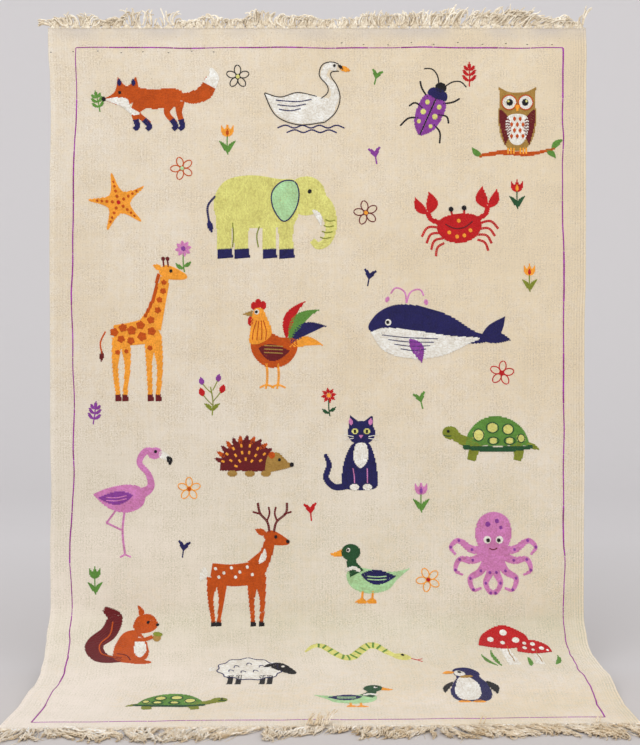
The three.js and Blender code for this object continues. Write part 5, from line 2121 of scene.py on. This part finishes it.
@dataclass
class LowerFringe(Fringe):
    """The fringe that lies in a lumpy roll of locks along the lower end, flopped over to the side."""

    locks: int = 4
    strand_radius: float = 1.3 * MM
    lock_radius: float = 1.6 * MM
    lock_twist: float = 34 * MM
    first_gap: float = 6 * MM
    last_gap: float = 15 * MM
    side_limit: float = 0.65
    front_limit: float = 0.567
    tuft_rows: Rows = (  # place across, number of strands, their length in millimetres
        (-0.024, 7, 27), (-0.01, 7, 27), (0.004, 7, 27), (0.3, 2, 20), (0.519, 3, 16),
    )

    def build(self) -> bpy.types.Object:
        """Builds the fringe and returns its object."""
        side, out, radius = self._warp_ends()
        edge, _ = self.form.lay(side, self.form.end_at(side))
        height = self.form.floor + np.maximum(radius, 1.5 * MM)
        self.bundle.strands(np.stack([edge[..., 0], edge[..., 1] - out, height], -1), radius, 0.6)
        self._add_locks(*self._lock_paths(self.locks))
        wisps, _ = self._lock_paths(self.wisps)
        self.bundle.strands(wisps, self._radii(len(wisps), self.wisp_radius), 0.5)
        self._tufts()
        return self.bundle.build(FLOOR_COTTON)

    def _lock_paths(self, each: int) -> tuple[np.ndarray, np.ndarray]:
        """Lays out the middle lines of the locks that flop over each other on the floor.

        Args:
            each: The number of locks for each valley.

        Returns:
            The middle lines, and a phase that runs along each.
        """
        chance = self.chance
        start, apart, (front, swing, curl, rise) = self._roots(each)
        count, share = len(start), self.share
        layer = chance.uniform(0, 1, count)
        swing = np.radians(swing) * (0.85 + 0.3 * layer) + 0.12 * apart[:, 1]
        swing = swing + chance.normal(0, 0.16, count)
        turn = curl * chance.uniform(0.3, 1.2, count) * np.where(chance.uniform(0, 1, count) < 0.5, -1, 1)
        foot, _ = self.form.lay(start, self.form.end_at(start))
        gap = np.interp(start, (-0.6, 0.6), (self.first_gap, self.last_gap))
        length = (front * MM + foot[:, 1] - gap) * chance.uniform(0.74, 1.02, count)
        straight = 1 / np.cos(np.clip(swing, -1.1, 1.1)) + 0.12 * curl**2
        length = np.minimum(length * straight * (1 - 0.25 * layer), 0.09)
        waves = chance.uniform(5, 12, (count, 1)) * share + chance.uniform(0, 6, (count, 1))
        wobble = chance.uniform(0.1, 0.45, (count, 1)) * np.sin(waves)
        heading = swing[:, None] * (1 - np.exp(-share * 12)) + turn[:, None] * (share - 0.5) + wobble
        step = (length / (self.stations - 1))[:, None]
        x = foot[:, :1] + np.cumsum(np.sin(heading) * step, 1)
        over = np.maximum(np.abs(x) - self.side_limit + 0.02, 0)
        x = x - np.sign(x) * (over - 0.018 * np.tanh(over / 0.02))
        back = chance.uniform(0, 1, (count, 1)) * layer[:, None] * 4 * MM
        forward = -foot[:, 1:2] + gap[:, None] - back + np.cumsum(np.cos(heading) * step, 1)
        forward = np.minimum(forward, self.front_limit)
        hump = np.clip(share * 8, 0, 1) * np.cos(np.clip(share - 0.15, 0, 1) * 1.8) ** 0.7
        hump = hump * (0.8 + 0.2 * np.sin(waves * 1.3))
        z = self.form.floor + 1.2 * MM * (1 - share) + hump * (layer * rise)[:, None] * MM
        inside = np.clip((-foot[:, 1:2] + 1 * MM - forward) / (2 * MM), 0, 1)
        z = np.maximum(z, self.form.floor + (self.form.thickness + 0.5 * MM) * inside)
        return np.stack([x, -forward, z], -1), waves

    def _add_locks(self, paths: np.ndarray, waves: np.ndarray) -> None:
        """Adds the strands of the locks, which wind round each other.

        Args:
            paths: The middle lines of the locks.
            waves: The phase that runs along each.
        """
        chance, count, share = self.chance, len(paths), self.share
        way = unit(np.gradient(paths, axis=1))
        aside = unit(np.stack([way[..., 1], -way[..., 0], np.zeros_like(way[..., 0])], -1))
        so_far = distances(paths)
        loose = self.lock_radius * (0.8 + 0.7 * share)
        for number in range(self.strands):
            turn = so_far / self.lock_twist * 2 * np.pi + 2 * np.pi * number / self.strands + waves[:, :1]
            offset = aside * (np.cos(turn) * loose)[..., None] * 1.25
            strand = paths + offset + chance.normal(0, 0.25 * MM, (count, 1, 3))
            keep = chance.uniform(0.8, 1.0, (count, 1, 1))
            fan = chance.normal(0, 2.2 * MM, (count, 1, 3)) * (1.0, 1.0, 0.2) * share[:, None] ** 2
            strand = strand[:, :1] + (strand - strand[:, :1]) * keep + fan
            radii = self._radii(count, self.strand_radius)
            strand[..., 2] += loose * (1 + np.sin(turn)) + radii
            strand[..., 2] = np.maximum(strand[..., 2], self.form.floor + radii)
            strand[..., 1] = np.maximum(strand[..., 1], -self.front_limit)
            # Painted shade and light: the strands are darker low down by the floor and paler on top of the
            # roll, less so towards the right.
            height = (strand[..., 2] - self.form.floor) / (9 * MM)
            to_right = np.clip(strand[..., 0] / 0.3, 0, 1)
            paleness = -0.2 + 0.15 * to_right + (1.1 - 0.7 * to_right) * np.clip(height, 0, 1)
            self.bundle.strands(strand, radii, paleness)

    def _tufts(self) -> None:
        """Adds the few tufts that stand up and lean back over the cloth."""
        chance, share = self.chance, self.share
        rows = np.array([row for row in self.tuft_rows for _ in range(int(row[1]))])
        start, count = rows[:, 0], len(rows)
        foot, _ = self.form.lay(start, self.form.end_at(start))
        length = rows[:, 2:] * chance.uniform(0.75, 1.25, (count, 1)) * MM
        tilt = chance.uniform(0.6, 1.2, (count, 1)) - 0.8 * share
        aside = 0.35 + chance.normal(0, 0.2, (count, 1)) + chance.normal(0, 0.4, (count, 1)) * share
        step = length / (self.stations - 1)
        x = foot[:, :1] + chance.uniform(-1, 1, (count, 1)) * length / 3
        x = x + np.cumsum(np.sin(aside) * step, 1)
        y = foot[:, 1:2] - 9 * MM + np.cumsum(np.cos(tilt) * step, 1)
        z = self.form.floor + 6 * MM + np.cumsum(np.sin(tilt) * step, 1)
        self.bundle.strands(np.stack([x, y, z], -1), self._radii(count, self.strand_radius), 0.3)


@dataclass
class Studio:
    """The floor and backdrop in one sweep, the soft lights and the camera."""

    form: ClothForm
    near_grey: Colour = (199, 195, 194)
    far_grey: Colour = (221, 218, 218)
    high_grey: Colour = (234, 231, 231)
    air: Colour = (246, 246, 248)
    half_width: float = 12.0
    front: float = -6.0
    turn_at: float = 4.0
    turn_radius: float = 3.0
    height: float = 9.0
    camera_distance: float = 2.6
    camera_side: float = 0.0067
    camera_height: float = -0.796
    lens: float = 55.9
    rise: float = 0.01275
    sky: float = 0.9
    key_power: float = 47.0
    lights: tuple[tuple, ...] = (  # name, place, target, length of its side, share of the key's power
        ("key_light", (-1.6, -3.6, 1.4), (0, 0, -0.75), 2.4, 1.0),
        ("fill_light", (2.4, -3.0, -0.3), (0, 0, -1.0), 2.2, 0.42),
        ("top_light", (0, -1.6, 1.9), (0, -0.3, -1.4), 2.4, 0.28),
    )

    def _sweep(self) -> None:
        """Builds the floor and the backdrop."""
        angle = np.linspace(0, math.pi / 2, 25)
        floor = self.form.floor
        curve = [(self.front, floor)]
        back = self.turn_at + self.turn_radius * np.sin(angle)
        curve += list(zip(back, floor + self.turn_radius * (1 - np.cos(angle))))
        curve.append((self.turn_at + self.turn_radius, floor + self.height))
        points = np.array([(s * self.half_width, y, z) for y, z in curve for s in (-1, 1)])
        faces = np.array([(2 * n, 2 * n + 1, 2 * n + 3, 2 * n + 2) for n in range(len(curve) - 1)])
        made = new_mesh_object("studio_sweep", points, faces)
        tones = (self.near_grey, self.far_grey, self.high_grey)
        paint = PaintFinish("studio_paint", *tones, (-0.6, 2.0), (floor + 0.1, floor + 3.0))
        made.data.materials.append(paint.material())

    def _camera(self) -> None:
        """Places the camera."""
        lens = bpy.data.cameras.new("camera")
        lens.lens = self.lens
        lens.sensor_width = 36
        lens.shift_y = self.rise
        made = bpy.data.objects.new("camera", lens)
        made.location = (self.camera_side, -self.camera_distance, self.camera_height)
        made.rotation_euler = (math.pi / 2, 0, 0)
        bpy.context.scene.collection.objects.link(made)
        bpy.context.scene.camera = made

    def _light_up(self) -> None:
        """Places the soft square lights."""
        for name, place, target, size, share in self.lights:
            lamp = bpy.data.lights.new(name, "AREA")
            lamp.size = size
            lamp.energy = share * self.key_power
            made = bpy.data.objects.new(name, lamp)
            made.location = place
            made.rotation_euler = (Vector(target) - Vector(place)).to_track_quat("-Z", "Y").to_euler()
            bpy.context.scene.collection.objects.link(made)

    def build(self) -> None:
        """Builds the studio."""
        scene = bpy.context.scene
        scene.view_settings.view_transform = "Standard"
        world = bpy.data.worlds.new("studio_air")
        world.use_nodes = True
        scene.world = world
        air = world.node_tree.nodes["Background"]
        air.inputs["Color"].default_value = linear(self.air)
        air.inputs["Strength"].default_value = self.sky
        self._sweep()
        self._camera()
        self._light_up()


def embroider(form: ClothForm, basket: StitchBasket) -> None:
    """Works every motif and the border line into the basket."""
    for number, spot in enumerate(LARGE_MOTIFS + SMALL_MOTIFS):
        pen = Pen(basket, spot.side * MM, spot.down * MM, spot.size, spot.turn, spot.flip, number)
        spot.draw(pen)
    border = BorderLine(form, basket)
    border.work()
    border.mark()


def main() -> None:
    """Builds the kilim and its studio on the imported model's frame."""
    logging.basicConfig(level=logging.INFO, format="%(message)s", stream=sys.stdout)
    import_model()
    form = ClothForm()
    Studio(form).build()

    ground = WovenGround(form).build()
    upper = UpperFringe(form, "fringe_upper", UPPER_FRINGE_ROWS, seed=21).build()
    lower = LowerFringe(form, "fringe_lower", LOWER_FRINGE_ROWS, seed=34).build()
    basket = StitchBasket()
    embroider(form, basket)
    needlework = Embroidery(form, basket)
    stitches = [needlework.build(yarn) for yarn in Yarn]

    for piece, slot in ((ground, "ground"), (upper, "fringe_top"), (lower, "fringe_bottom")):
        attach(piece, "root")
    for piece in stitches:
        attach(piece, "root")
    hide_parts("kilim_ground")
    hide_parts("fringe_top")
    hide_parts("fringe_bottom")

    for piece in (ground, upper, lower, *stitches):
        piece.data.calc_loop_triangles()
        LOG.info("%s: %d triangles", piece.name, len(piece.data.loop_triangles))


if __name__ == "__main__":
    main()
